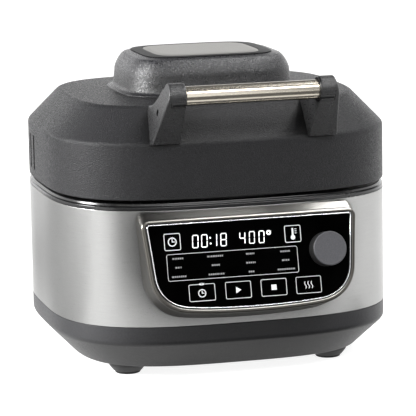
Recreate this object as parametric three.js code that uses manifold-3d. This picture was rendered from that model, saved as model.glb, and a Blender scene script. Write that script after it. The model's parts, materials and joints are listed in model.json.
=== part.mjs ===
// Countertop multi-cooker with a hinged grill lid: base with a stainless band,
// touch panel and dial, removable pot and grill plate, and a motor lid with a bar handle.
// Units are millimetres, +Z up, +X to the user's right, -Y towards the user.
import * as THREE from 'three';
import { mergeVertices } from 'three/addons/utils/BufferGeometryUtils.js';
import Module from 'manifold-3d';

const wasm = await Module();
wasm.setup();

// ---- driving dimensions -------------------------------------------------
const HALF_W = 173.4;          // half width of the body outline
const HALF_D = 156.7;          // half depth of the body outline
const N_BODY = 3.25;           // squareness of the rounded outline
const BODY_Y = 10.96;           // body centre, behind the origin (the box centre)
const GAP = 0.3;               // clearance between neighbouring pieces
const SEG = 32;                // facets round the body
const SEGR = 24;               // facets round the pot

const Z_BASE = 11.7;           // underside of the base shell
const Z_CREASE = 40.8;         // top of the base chamfer
const BASE_INSET = 28;         // how far the chamfer runs in
const Z_BAND0 = 58.4, Z_BAND1 = 174.3;   // stainless band
const Z_DECK = 181.0;          // top of the deck
const Z_LID = 184.3;           // lower edge of the lid
const Z_LID_CREASE = 239.6;    // where the lid's slope starts
const Z_LID_TOP = 272.5;       // edge of the lid's flat top
const LID_INSET = 31.5;        // how far the slope runs in
const BAND_T = 1.1;            // sheet thickness of the band

const POT_R = 121.5;           // pot wall, outside
const POT_T = 1.6;
const POT_Z0 = 54.8, POT_Z1 = 184.4;
const WELL_R = 126.5;
const PLATE_R = 95;            // heating plate
const LINER_R = 131.5;         // lid liner, inside

const DOME_Y = 3.0;            // dome centre on the body
const TUBE_Y = -180, TUBE_Z = 289.1, TUBE_R = 9.4, TUBE_HALF = 79;
const CAP_R = 12.5;            // sleeve round the bar
const PIN_Y = 166.5, PIN_Z = 181.0, PIN_R = 3.0;   // lid pivot
const PANEL_SLOPE = 0.24;      // panel face runs forward this much per mm down
const PANEL_Z = 122, PANEL_Y = -168.12 + PANEL_SLOPE * (122 - 163);
const KNOB_X = 74.4, KNOB_V = 8.1, KNOB_R = 17.05, KNOB_H = 17;
const FOOT_X = 105.5, FOOT_Y = 84;

// ---- helpers ------------------------------------------------------------
function clean(geo) {
  let g = geo.index ? geo.toNonIndexed() : geo.clone();
  g.deleteAttribute('normal');
  g.deleteAttribute('uv');
  g = mergeVertices(g, 1e-4);
  const p = g.attributes.position.array, ix = g.index.array, keep = [];
  let vol = 0;
  for (let i = 0; i < ix.length; i += 3) {
    const [a, b, c] = [ix[i], ix[i + 1], ix[i + 2]];
    if (a === b || b === c || a === c) continue;
    keep.push(a, b, c);
    const ax = p[3 * a], ay = p[3 * a + 1], az = p[3 * a + 2];
    const bx = p[3 * b], by = p[3 * b + 1], bz = p[3 * b + 2];
    const cx = p[3 * c], cy = p[3 * c + 1], cz = p[3 * c + 2];
    vol += ax * (by * cz - bz * cy) + ay * (bz * cx - bx * cz) + az * (bx * cy - by * cx);
  }
  if (vol < 0) for (let i = 0; i < keep.length; i += 3) { const t = keep[i + 1]; keep[i + 1] = keep[i + 2]; keep[i + 2] = t; }
  g.setIndex(keep);
  return g;
}
function solid(geo) {
  const g = clean(geo);
  return new wasm.Manifold(new wasm.Mesh({
    numProp: 3,
    vertProperties: Float32Array.from(g.attributes.position.array),
    triVerts: Uint32Array.from(g.index.array),
  }));
}
function shape(man) {
  const m = man.getMesh();
  const g = new THREE.BufferGeometry();
  const n = m.vertProperties.length / m.numProp, v = new Float32Array(n * 3);
  for (let i = 0; i < n; i++) for (let k = 0; k < 3; k++) v[3 * i + k] = m.vertProperties[m.numProp * i + k];
  g.setAttribute('position', new THREE.BufferAttribute(v, 3));
  g.setIndex(Array.from(m.triVerts));
  return g;
}
const add = (...s) => s.reduce((a, b) => a.add(b));
const cut = (a, ...s) => s.reduce((x, b) => x.subtract(b), a);
const box = (x0, x1, y0, y1, z0, z1) =>
  solid(new THREE.BoxGeometry(x1 - x0, y1 - y0, z1 - z0).translate((x0 + x1) / 2, (y0 + y1) / 2, (z0 + z1) / 2));
// cylinder along 'x', 'y' or 'z' between two stations
function rod(axis, r, a, b, u, v, seg = 20) {
  const g = new THREE.CylinderGeometry(r, r, b - a, seg);
  if (axis === 'x') g.rotateZ(Math.PI / 2).translate((a + b) / 2, u, v);
  else if (axis === 'y') g.translate(u, (a + b) / 2, v);
  else g.rotateX(Math.PI / 2).translate(u, v, (a + b) / 2);
  return solid(g);
}
// a lathe about Z
function turned(profile, seg = SEGR) {
  return new THREE.LatheGeometry(profile.map(([r, z]) => new THREE.Vector2(r, z)), seg).rotateX(Math.PI / 2);
}
// rings joined into one skin: a lathe whose rings are moved to the given outlines,
// with the facets closer together round the corners
function rings(list, seg = SEG) {
  const base = new THREE.LatheGeometry(list.map((_, i) => new THREE.Vector2(10, i)), seg);
  const pos = base.attributes.position, n = list.length;
  for (let i = 0; i <= seg; i++) for (let j = 0; j < n; j++) {
    const t = 2 * Math.PI * (i % seg) / seg, th = t + 0.09 * Math.sin(4 * t), q = list[j](th, i % seg);
    pos.setXYZ(i * n + j, q[0], q[1], q[2]);
  }
  return base;
}
const loop = (l) => [...l, l[0]];
function outline(a, b, n, z, x0 = 0, y0 = 0) {
  return (th) => {
    if (a < 1e-6) return [x0, y0, z];
    const c = Math.cos(th), s = Math.sin(th);
    const r = Math.pow(Math.pow(Math.abs(c) / a, n) + Math.pow(Math.abs(s) / b, n), -1 / n);
    return [x0 + r * c, y0 + r * s, z];
  };
}
const body = (inset, z) => outline(HALF_W - inset, HALF_D - inset, N_BODY, z);
const round = (r, z) => outline(r, r, 2, z);

const root = new THREE.Group();
const inner = new THREE.Group();      // everything is placed on the body centre
inner.position.y = BODY_Y;
root.add(inner);
const finish = {
  shell: [0x47474a, 0.62, 0.0], lid: [0x3c3c3e, 0.72, 0.0], steel: [0xc3c0ba, 0.34, 0.95],
  black: [0x101012, 0.3, 0.0], glass: [0x060607, 0.08, 0.0], chrome: [0xd8dade, 0.12, 1.0],
  knob: [0x5f5f62, 0.5, 0.0], rubber: [0x141414, 0.9, 0.0], alu: [0xa9abac, 0.45, 0.9],
  coat: [0x26262a, 0.5, 0.1], board: [0x1f5a3a, 0.6, 0.0], dark: [0x1b1b1d, 0.55, 0.0],
  copper: [0x9a6a3c, 0.4, 0.8], bar: [0xcdc8bf, 0.28, 1.0],
};
function put(name, geo, mat, parent = inner) {
  const g = clean(geo instanceof THREE.BufferGeometry ? geo : shape(geo));
  g.computeVertexNormals();
  const [color, roughness, metalness] = finish[mat];
  const m = new THREE.Mesh(g, new THREE.MeshStandardMaterial({ color, roughness, metalness, flatShading: true }));
  m.name = name;
  parent.add(m);
  return m;
}

// ---- base ---------------------------------------------------------------
let baseShell = solid(rings(loop([
  body(BASE_INSET, Z_BASE), body(0, Z_CREASE), body(0, 58.1), body(BAND_T + GAP, 58.1),
  body(BAND_T + GAP, 174), body(4, 174), body(4, 43), body(29.5, 17.3), body(36, 17.3),
  body(36, 14.6), body(30.4, 14.6), body(30.4, Z_BASE)])));
const panelWindow = box(-92, 92, -200, -118, 86, 158);
baseShell = cut(baseShell, panelWindow, rod('y', 6.8, 140, 170, -70, 49.4));
put('base_housing', baseShell, 'shell');

let cover = solid(rings([outline(0, 0, 2, 14.3), body(30.8, 14.3), body(30.8, 11.9), outline(0, 0, 2, 11.9)]));
for (const sx of [-1, 1]) for (const sy of [-1, 1]) {
  cover = cover.add(solid(turned([[0, 12.5], [19, 12.5], [19, 8.6], [14.2, 2.6], [13.1, 2.6], [13.1, 6.6], [0, 6.6]], 16)
    .translate(sx * FOOT_X, sy * FOOT_Y, 0)));
  cover = cover.subtract(rod('z', 2.3, 5, 20, sx * 70, sy * 100, 8));
}
for (let i = -2; i <= 2; i++) cover = cover.subtract(box(i * 14 - 2.5, i * 14 + 2.5, 20, 60, 5, 20));
put('bottom_cover', cover, 'dark');
for (const [tag, sx, sy] of [['front_left', -1, -1], ['front_right', 1, -1], ['rear_left', -1, 1], ['rear_right', 1, 1]]) {
  put('foot_pad_' + tag, turned([[0, 0], [12, 0], [12.8, 0.8], [12.8, 6.3], [0, 6.3]], 16)
    .translate(sx * FOOT_X, sy * FOOT_Y, 0), 'rubber');
  put('cover_screw_' + tag, turned([[0, 9.7], [2.6, 9.7], [3.6, 10.6], [3.6, 11.6], [1.9, 11.6], [1.9, 22], [0, 22]], 8)
    .translate(sx * 70, sy * 100, 0), 'steel');
}

let band = solid(rings(loop([body(0, Z_BAND0), body(0, Z_BAND1 - 0.2), body(BAND_T, Z_BAND1 - 0.2), body(BAND_T, Z_BAND0)])));
put('steel_band', cut(band, panelWindow), 'steel');

put('deck_ring', rings(loop([
  body(0.2, 174.5), body(0.2, 177.6), body(2.0, 178.4), body(2.6, Z_DECK),
  round(134.5, Z_DECK), round(134.5, 177), body(6, 177), body(6, 174.5)])), 'black');

// removable-pot well, its shield, and the heating plate with the spring-loaded sensor
put('cooking_well', rings(loop([
  round(139, 181.3), round(139, 182.3), round(WELL_R - 1.2, 182.3), round(WELL_R - 1.2, 47), round(122, 43.7),
  round(19, 43.7), round(19, 42.5), round(122.4, 42.5), round(WELL_R, 46.6), round(WELL_R, 181.3)]), SEGR), 'alu');
put('heat_shield', rings(loop([round(139, 172), round(139, 47), round(138.1, 47), round(138.1, 171.1),
  round(131, 171.1), round(131, 172)]), SEGR), 'steel');
put('heating_plate', rings(loop([round(19, 54.4), round(19, 44), round(88, 44), round(PLATE_R, 48), round(PLATE_R, 53.4),
  round(PLATE_R - 1, 54.4)]), SEGR), 'alu');
const bracket = add(box(-30, 30, -9, 9, 24, 25.6), box(-30, -28.4, -9, 9, 25, 42.2), box(28.4, 30, -9, 9, 25, 42.2));
put('sensor_bracket', bracket, 'steel');
const SPRING_TURNS = 4, springPts = [];
for (let i = 0; i <= SPRING_TURNS * 10; i++) {
  const a = 2 * Math.PI * i / 10;
  springPts.push(new THREE.Vector3(11.5 * Math.cos(a), 11.5 * Math.sin(a), 26.8 + (50.8 - 26.8) * i / (SPRING_TURNS * 10)));
}
const ngon = (r, k) => new THREE.Shape(Array.from({ length: k }, (_, i) => new THREE.Vector2(r * Math.cos(2 * Math.PI * i / k), r * Math.sin(2 * Math.PI * i / k))));
put('sensor_spring', new THREE.ExtrudeGeometry(ngon(0.7, 5), { steps: 36, bevelEnabled: false, extrudePath: new THREE.CatmullRomCurve3(springPts) }), 'steel');
put('sensor_cap', turned([[0, 54.5], [16, 54.5], [17.4, 53.2], [17.4, 38], [15.6, 38], [15.6, 52], [0, 52]], 20), 'alu');

put('power_board', box(-105, -36, -60, 60, 17.5, 19.1), 'board');
put('power_transformer', add(box(-92, -58, 5, 50, 19.4, 36), box(-86, -64, 0, 55, 21, 34)), 'copper');
put('cord_gland', add(
  cut(solid(turned([[0, 0], [9.5, 0], [9.5, 3.4], [7.6, 5.2], [0, 5.2]], 16).rotateX(-Math.PI / 2).translate(-70, 155.2, 49.4)),
    rod('y', 3.7, 120, 190, -70, 49.4, 12)),
  cut(rod('y', 6.4, 145, 155.9, -70, 49.4, 16), rod('y', 3.7, 120, 190, -70, 49.4, 12))), 'dark');

// ---- control panel, built in its own sloping plane ----------------------
const panel = new THREE.Group();
const tilt = Math.atan(PANEL_SLOPE), cT = Math.cos(tilt), sT = Math.sin(tilt);
panel.position.set(0, PANEL_Y, PANEL_Z);
panel.rotation.x = Math.PI / 2 - tilt;
inner.add(panel);
// right half of the trim line, from the middle of the bottom edge to the middle of the top
const half = [[0, -42.4], [20, -42.2], [40, -41.5], [56, -40.5], [66, -39.4]];
const bz = new THREE.CubicBezierCurve(new THREE.Vector2(66, -39.4), new THREE.Vector2(84, -38), new THREE.Vector2(97.6, -26), new THREE.Vector2(98.9, -8));
for (let i = 1; i <= 8; i++) { const q = bz.getPoint(i / 8); half.push([q.x, q.y]); }
half.push([100.6, 10], [102.4, 28], [103.6, 40.0], [103.2, 41.6], [102.2, 42.5], [100.6, 42.8], [50, 42.8], [0, 42.8]);
const line = [...half, ...half.slice(1, -1).reverse().map(([x, y]) => [-x, y])];
const NP = line.length;
const dir = line.map((p, i) => {
  const a = line[(i + NP - 1) % NP], b = line[(i + 1) % NP];
  const tx = b[0] - a[0], ty = b[1] - a[1], l = Math.hypot(tx, ty);
  return [ty / l, -tx / l];
});
const off = (d, n) => (_, i) => [line[i][0] + d * dir[i][0], line[i][1] + d * dir[i][1], n];
// a point of the panel plane taken back to the upright body
const toBody = ([x, v, n]) => [x, PANEL_Y + v * sT - n * cT, PANEL_Z + v * cT + n * sT];
const back = (d, y) => (_, i) => {
  const p = toBody(off(d, -1.5)(0, i));
  const z = 64.5 + (p[2] - 75.2) * (109.0 / 93.5);
  return [p[0], y, z];
};
const wall = (d, n) => (_, i) => toBody(off(d, n)(0, i));
const bodyCore = (grow, z0, z1) => solid(rings([outline(0, 0, 2, z1), body(-grow, z1), body(-grow, z0), outline(0, 0, 2, z0)]));
let bezel = solid(rings(loop([
  wall(-6, -2.5), wall(1.3, -2.5), wall(1.3, 0.2), wall(2.4, 0.6), wall(4.2, 0.1), wall(5.4, -1.6),
  back(5.4, -157), back(5.4, -138), back(2.2, -138), wall(2.2, -5.2), wall(-6, -5.2)]), NP));
bezel = cut(bezel, bodyCore(GAP, 40, 200), box(-200, 200, -250, -100, 174, 220));
put('panel_bezel', bezel, 'steel');
put('panel_trim', rings(loop([off(-1, -2.2), off(-1, 0.8), off(0, 1.2), off(1, 0.8), off(1, -2.2)]), NP), 'chrome', panel);
const glass = cut(solid(rings([() => [0, 0, 0], off(-1.3, 0), off(-1.3, -2.2), () => [0, 0, -2.2]], NP)),
  rod('z', 5, -10, 10, KNOB_X, KNOB_V, 20));
put('panel_glass', glass, 'glass', panel);
put('display_module', box(-64, 28, 14, 35, -7.1, -2.5), 'dark', panel);
put('control_board', box(-84, 84, -30, 39, -9.2, -7.6), 'board', panel);
put('dial_encoder', cut(add(box(KNOB_X - 7, KNOB_X + 7, KNOB_V - 7, KNOB_V + 7, -7.3, -2.6), rod('z', 4.5, -4, 0.2, KNOB_X, KNOB_V)),
  rod('z', 3.3, -6, 5, KNOB_X, KNOB_V)), 'alu', panel);
put('dial_shaft', rod('z', 3, -5.6, 13.6, KNOB_X, KNOB_V), 'alu', panel);
put('dial_knob', turned([[0, 14], [3.3, 14], [3.3, 0.6], [16.5, 0.6], [KNOB_R, 1.6], [KNOB_R, KNOB_H - 1], [KNOB_R - 0.9, KNOB_H], [0, KNOB_H]], 28)
  .translate(KNOB_X, KNOB_V, 0), 'knob', panel);

// ---- pot and grill plate ------------------------------------------------
put('inner_pot', turned([[0, POT_Z0], [POT_R - 9, POT_Z0], [POT_R - 3, POT_Z0 + 3], [POT_R, POT_Z0 + 9], [POT_R, POT_Z1 - 1.8],
  [129.3, POT_Z1 - 1.8], [129.3, POT_Z1 - 0.2], [POT_R - POT_T + 2, POT_Z1], [POT_R - POT_T, POT_Z1 - 2], [POT_R - POT_T, POT_Z0 + 9.5],
  [POT_R - 4.2, POT_Z0 + 4.2], [POT_R - 9.6, POT_Z0 + POT_T], [0, POT_Z0 + POT_T]]), 'coat');
let grill = solid(turned([[0, 74], [108, 74], [112, 77], [112, 80], [110.5, 80], [107.5, 76.4], [0, 76.4]]));
for (let i = -3; i <= 3; i++) {
  const x = i * 25, h = Math.sqrt(104 * 104 - x * x);
  grill = grill.add(box(x - 2, x + 2, -h, h, 76, 80));
}
for (const a of [45, 135, 225, 315]) grill = grill.add(rod('z', 4, 57, 75, 92 * Math.cos(a * Math.PI / 180), 92 * Math.sin(a * Math.PI / 180), 8));
for (let k = 0; k < 6; k++) grill = grill.subtract(box(k * 25 - 64.5, k * 25 - 60.5, -20, 20, 60, 90));
put('grill_plate', grill, 'coat');

// ---- rear hinge ---------------------------------------------------------
// a plate with the given Y-Z outline between two stations of X
function sheetX(pts, x0, x1) {
  const g = new THREE.ExtrudeGeometry(new THREE.Shape(pts.map(([y, z]) => new THREE.Vector2(y, z))), { depth: x1 - x0, bevelEnabled: false });
  const p = g.attributes.position;
  for (let i = 0; i < p.count; i++) p.setXYZ(i, x0 + p.getZ(i), p.getX(i), p.getY(i));
  return solid(g);
}
const arcPts = (r, a0, a1, k) => Array.from({ length: k + 1 }, (_, i) => {
  const a = (a0 + (a1 - a0) * i / k) * Math.PI / 180;
  return [PIN_Y + r * Math.cos(a), PIN_Z + r * Math.sin(a)];
});
for (const [tag, s] of [['left', -1], ['right', 1]]) {
  const x = 62 * s, ear = [[157.2, 144], [160.5, 140], [163.5, 141], ...arcPts(8, -32, 172, 8), [158.4, 172], [157.2, 170]];
  const knuckle = [...arcPts(7.2, -170, 24, 7), [170.6, 196], [164, 212], [161.5, 222], [157.3, 222], [157.3, 192]];
  const bore = rod('x', PIN_R + 0.25, x - 30, x + 30, PIN_Y, PIN_Z, 12);
  put('hinge_mount_' + tag, cut(add(box(x - 17, x + 17, 157.2, 160.4, 140, 171), sheetX(ear, x - 18, x - 10.2), sheetX(ear, x + 10.2, x + 18)), bore), 'shell');
  put('hinge_pin_' + tag, rod('x', PIN_R, x - 18.4, x + 18.4, PIN_Y, PIN_Z, 12), 'steel');
  put('hinge_arm_' + tag, cut(add(sheetX(knuckle, x - 9.8, x + 9.8), box(x - 17, x + 17, 157.2, 160.6, 193, 227)), bore), 'lid');
}

// ---- lid ----------------------------------------------------------------
let lid = solid(rings(loop([
  body(0, Z_LID), body(0, Z_LID_CREASE), body(LID_INSET - 2.4, 271.0), body(LID_INSET + 0.8, Z_LID_TOP),
  outline(79, 63, 3.4, 274.4, 0, DOME_Y), outline(79, 63, 3.4, 271.6, 0, DOME_Y), body(34, 269.6), body(3, 237.6), body(3, Z_LID)])));
const slotY = [24.5, 42.5, 60.5, 78.5, 96.5];
for (const y of slotY) lid = lid.subtract(box(-200, 200, y - 2.8, y + 2.8, 193, 229));
put('lid_shell', lid, 'lid');
for (const [tag, s] of [['left', -1], ['right', 1]]) {
  let grille = solid(rings(loop([body(3.4, 188.5), body(3.4, 233), body(5, 233), body(5, 188.5)])))
    .intersect(box(s > 0 ? 120 : -200, s > 0 ? 200 : -120, 14, 106, 180, 240));
  for (let k = 0; k < 4; k++) grille = grille.subtract(box(-200, 200, 22, 99, 197 + k * 8.5, 200 + k * 8.5));
  put('vent_grille_' + tag, grille, 'dark');
}

const D = (a, b, n, z) => outline(a, b, n, z, 0, DOME_Y);
put('dome_cover', rings(loop([
  D(90.6, 75.1, 3.8, 275.0), D(87.2, 71.7, 3.8, 277.4), D(85.3, 69.8, 3.8, 290), D(84.9, 69.5, 3.8, 294.6),
  D(83.4, 68.4, 3.8, 298.6), D(81.3, 66.8, 3.9, 302.4), D(78.6, 64.8, 4, 306.2), D(75.6, 62.8, 4.1, 308.8), outline(67.3, 58.8, 4.4, 310.4, 0, DOME_Y + 2),
  outline(67.3, 58.8, 4.4, 308.2, 0, DOME_Y + 2), D(46, 38, 4, 308.2), D(46, 38, 4, 305.6), D(74.4, 60.6, 4, 304.4), D(82.2, 66.8, 3.8, 291.6),
  D(83.2, 67.7, 3.8, 275.0)]), 32), 'lid');
const P = (i, z) => outline(57.3 - i, 53.5 - i, 4.5, z, 0, DOME_Y + 2.5);
const W = (z) => outline(67.0, 58.5, 4.4, z, 0, DOME_Y + 2);
put('dome_trim', rings(loop([W(308.5), W(311.1), P(0, 311.7), P(2.5, 311.5), P(2.5, 308.5)]), 32), 'black');
put('dome_plate', rings([outline(0, 0, 2, 312, 0, DOME_Y + 2.5), P(8, 312), P(2.8, 311.4), P(2.8, 308.5), outline(0, 0, 2, 308.5, 0, DOME_Y + 2.5)], 32), 'steel');

// handle: two leaning brackets, sleeves and a steel bar
put('handle_tube', new THREE.LatheGeometry([[TUBE_R, -TUBE_HALF], [TUBE_R, TUBE_HALF], [TUBE_R - 1.4, TUBE_HALF], [TUBE_R - 1.4, -TUBE_HALF], [TUBE_R, -TUBE_HALF]]
  .map(([r, x]) => new THREE.Vector2(r, x)), 24).rotateZ(Math.PI / 2).translate(0, TUBE_Y, TUBE_Z), 'bar');
const lidCore = solid(rings([outline(0, 0, 2, 275.2), outline(79, 63, 3.4, 274.9, 0, DOME_Y), body(LID_INSET + 0.6, Z_LID_TOP + 0.35), body(LID_INSET - 2.7, 271.3),
  body(-0.35, Z_LID_CREASE), body(-0.35, 180), outline(0, 0, 2, 180)]));
for (const [tag, s] of [['left', -1], ['right', 1]]) {
  const R = CAP_R + 0.4, prof = new THREE.Shape();
  prof.moveTo(-120, 268);
  prof.lineTo(-124, 274.2);
  prof.bezierCurveTo(-139, 274.6, -152, 284, -166, 296.4);
  const a0 = Math.atan2(296.4 - TUBE_Z, -166 - TUBE_Y), a1 = Math.PI + 0.28;
  for (let k = 0; k <= 7; k++) { const a = a0 + (a1 - a0) * k / 7; prof.lineTo(TUBE_Y + R * Math.cos(a), TUBE_Z + R * Math.sin(a)); }
  prof.lineTo(-157.6, 240.0);
  prof.lineTo(-140, 236);
  const g = new THREE.ExtrudeGeometry(prof, { depth: 1, bevelEnabled: false, curveSegments: 7 });
  const p = g.attributes.position;
  for (let i = 0; i < p.count; i++) {
    const y = p.getX(i), z = p.getY(i), t = p.getZ(i), h = THREE.MathUtils.clamp((z - 239.6) / 50, -0.2, 1.2);
    const xi = 65 + 2 * h, xo = 94 - 9 * h;
    p.setXYZ(i, s * (xi + (xo - xi) * t), y, z);
  }
  let br = cut(solid(g), lidCore, rod('x', CAP_R + GAP, s > 0 ? 60 : -82, s > 0 ? 82 : -60, TUBE_Y, TUBE_Z, 28),
    rod('x', 3.4, s > 0 ? 82 : -100, s > 0 ? 100 : -82, -160, 271.6, 16));
  put('handle_bracket_' + tag, br, 'lid');
  const x0 = s > 0 ? 66.6 : -81.7, x1 = s > 0 ? 81.7 : -66.6;
  put('handle_cap_' + tag, cut(rod('x', CAP_R, x0, x1, TUBE_Y, TUBE_Z, 28), rod('x', TUBE_R + 0.2, s > 0 ? 60 : -79.3, s > 0 ? 79.3 : -60, TUBE_Y, TUBE_Z, 28)), 'black');
  put('handle_screw_' + tag, rod('x', 3, s > 0 ? 82.3 : -86.3, s > 0 ? 86.3 : -82.3, -160, 271.6, 16), 'dark');
}

// lid inside: liner, heater, guard, fan drive
put('lid_liner', rings(loop([body(4, 186.2), round(LINER_R, 186.2), round(LINER_R, 238), round(124, 246), round(9, 246), round(9, 247.2),
  round(124.6, 247.2), round(132.7, 238.5), round(132.7, 187.4), body(4, 187.4)])), 'steel');
put('lid_gasket', turned([[148, 181.5], [148, 185.8], [142, 185.8], [142, 183.4], [144.5, 181.5], [148, 181.5]]), 'rubber');
const coil = [];
coil.push(new THREE.Vector3(92, 0, 245.4), new THREE.Vector3(92, 0, 236));
for (let i = 1; i <= 40; i++) {
  const a = 2 * Math.PI * 1.75 * i / 40, r = 92 - 34 * i / 40;
  coil.push(new THREE.Vector3(r * Math.cos(a), r * Math.sin(a), 222));
}
const last = coil[coil.length - 1];
coil.push(new THREE.Vector3(last.x + 8, last.y, 222.6), new THREE.Vector3(last.x + 12, last.y, 225));
put('top_heater', new THREE.ExtrudeGeometry(ngon(3.4, 5), { steps: 40, bevelEnabled: false, extrudePath: new THREE.CatmullRomCurve3(coil, false, 'centripetal') }), 'dark');
let guard = solid(turned([[0, 211], [120, 211], [120, 212.2], [0, 212.2]]));
for (let k = 0; k < 8; k++) for (const [r0, r1] of [[22, 60], [70, 110]]) {
  guard = guard.subtract(solid(new THREE.BoxGeometry(r1 - r0, r0 < 50 ? 7 : 16, 6).translate((r0 + r1) / 2, 0, 211.6).rotateZ(2 * Math.PI * k / 8)));
}
for (const a of [70, 190, 310]) guard = guard.add(rod('z', 2.5, 211.5, 245.7, 114 * Math.cos(a * Math.PI / 180), 114 * Math.sin(a * Math.PI / 180), 6));
put('heater_guard', guard, 'steel');
put('motor_bracket', add(solid(turned([[8, 259.5], [46, 259.5], [46, 261], [8, 261], [8, 259.5]], 20)),
  ...[30, 150, 270].map((a) => rod('z', 3, 247.6, 260, 42 * Math.cos(a * Math.PI / 180), 42 * Math.sin(a * Math.PI / 180), 6))), 'steel');
put('motor_stator', turned([[4.4, 261.4], [30, 261.4], [34, 264], [34, 288], [28, 294], [4.4, 294], [4.4, 261.4]], 20), 'alu');
put('motor_shaft', rod('z', 4, 226, 298, 0, 0, 16), 'steel');
let fan = solid(turned([[4.2, 232], [12, 232], [12, 243], [68, 243], [68, 244], [4.2, 244], [4.2, 232]], 20));
for (let k = 0; k < 8; k++) fan = fan.add(solid(new THREE.BoxGeometry(54, 1.4, 12).translate(40, 0, 237.5).rotateZ(2 * Math.PI * k / 8)));
put('convection_fan', fan, 'steel');
let cool = solid(turned([[4.2, 250], [10, 250], [10, 251.2], [36, 251.2], [36, 252.2], [10, 252.2], [10, 258], [4.2, 258], [4.2, 250]], 16));
for (let k = 0; k < 8; k++) cool = cool.add(solid(new THREE.BoxGeometry(26, 1.2, 5.3).translate(21.4, 0, 254.5).rotateZ(2 * Math.PI * k / 8)));
put('cooling_fan', cool, 'dark');

export default root;
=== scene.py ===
import bpy, bmesh, math, json
import numpy as np
from mathutils import Vector, Matrix


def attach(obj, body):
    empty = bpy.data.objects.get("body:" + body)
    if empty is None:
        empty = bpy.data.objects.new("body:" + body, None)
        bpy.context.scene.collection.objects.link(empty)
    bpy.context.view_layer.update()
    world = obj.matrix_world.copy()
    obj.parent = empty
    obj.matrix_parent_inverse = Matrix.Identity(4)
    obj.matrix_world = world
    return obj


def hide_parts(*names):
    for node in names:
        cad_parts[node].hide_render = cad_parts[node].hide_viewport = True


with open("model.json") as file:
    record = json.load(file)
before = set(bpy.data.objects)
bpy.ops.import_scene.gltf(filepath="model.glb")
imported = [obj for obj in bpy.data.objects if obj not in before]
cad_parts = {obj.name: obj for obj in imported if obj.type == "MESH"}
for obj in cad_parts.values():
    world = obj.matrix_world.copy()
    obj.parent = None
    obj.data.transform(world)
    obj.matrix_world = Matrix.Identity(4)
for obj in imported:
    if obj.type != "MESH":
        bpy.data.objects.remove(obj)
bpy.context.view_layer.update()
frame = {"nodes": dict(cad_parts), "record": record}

# ------------------------------------------------------------------ sizes (mm, about the body's centre)
BY = 10.96                      # body centre behind the origin
HW, HD, NB = 173.4, 156.7, 3.25
LIFT = 0.09                     # closer facets round the corners
NS = 224
DOME_Y = 3.0
TUBE_Y, TUBE_Z, TUBE_R = -180.0, 289.1, 9.4
CAP_R = 12.5
PIN_Y, PIN_Z = 166.5, 181.0
SLOPE = 0.24
PANEL_Z = 122.0
PANEL_Y = -168.12 + SLOPE * (122 - 163)
TILT = math.atan(SLOPE)
CT, ST = math.cos(TILT), math.sin(TILT)
KX, KV = 74.4, 8.1


def srgb(r, g=None, b=None):
    if g is None:
        g = b = r
    f = lambda c: (c / 12.92 if c <= 0.04045 else ((c + 0.055) / 1.055) ** 2.4)
    return (f(r / 255), f(g / 255), f(b / 255), 1.0)


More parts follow.
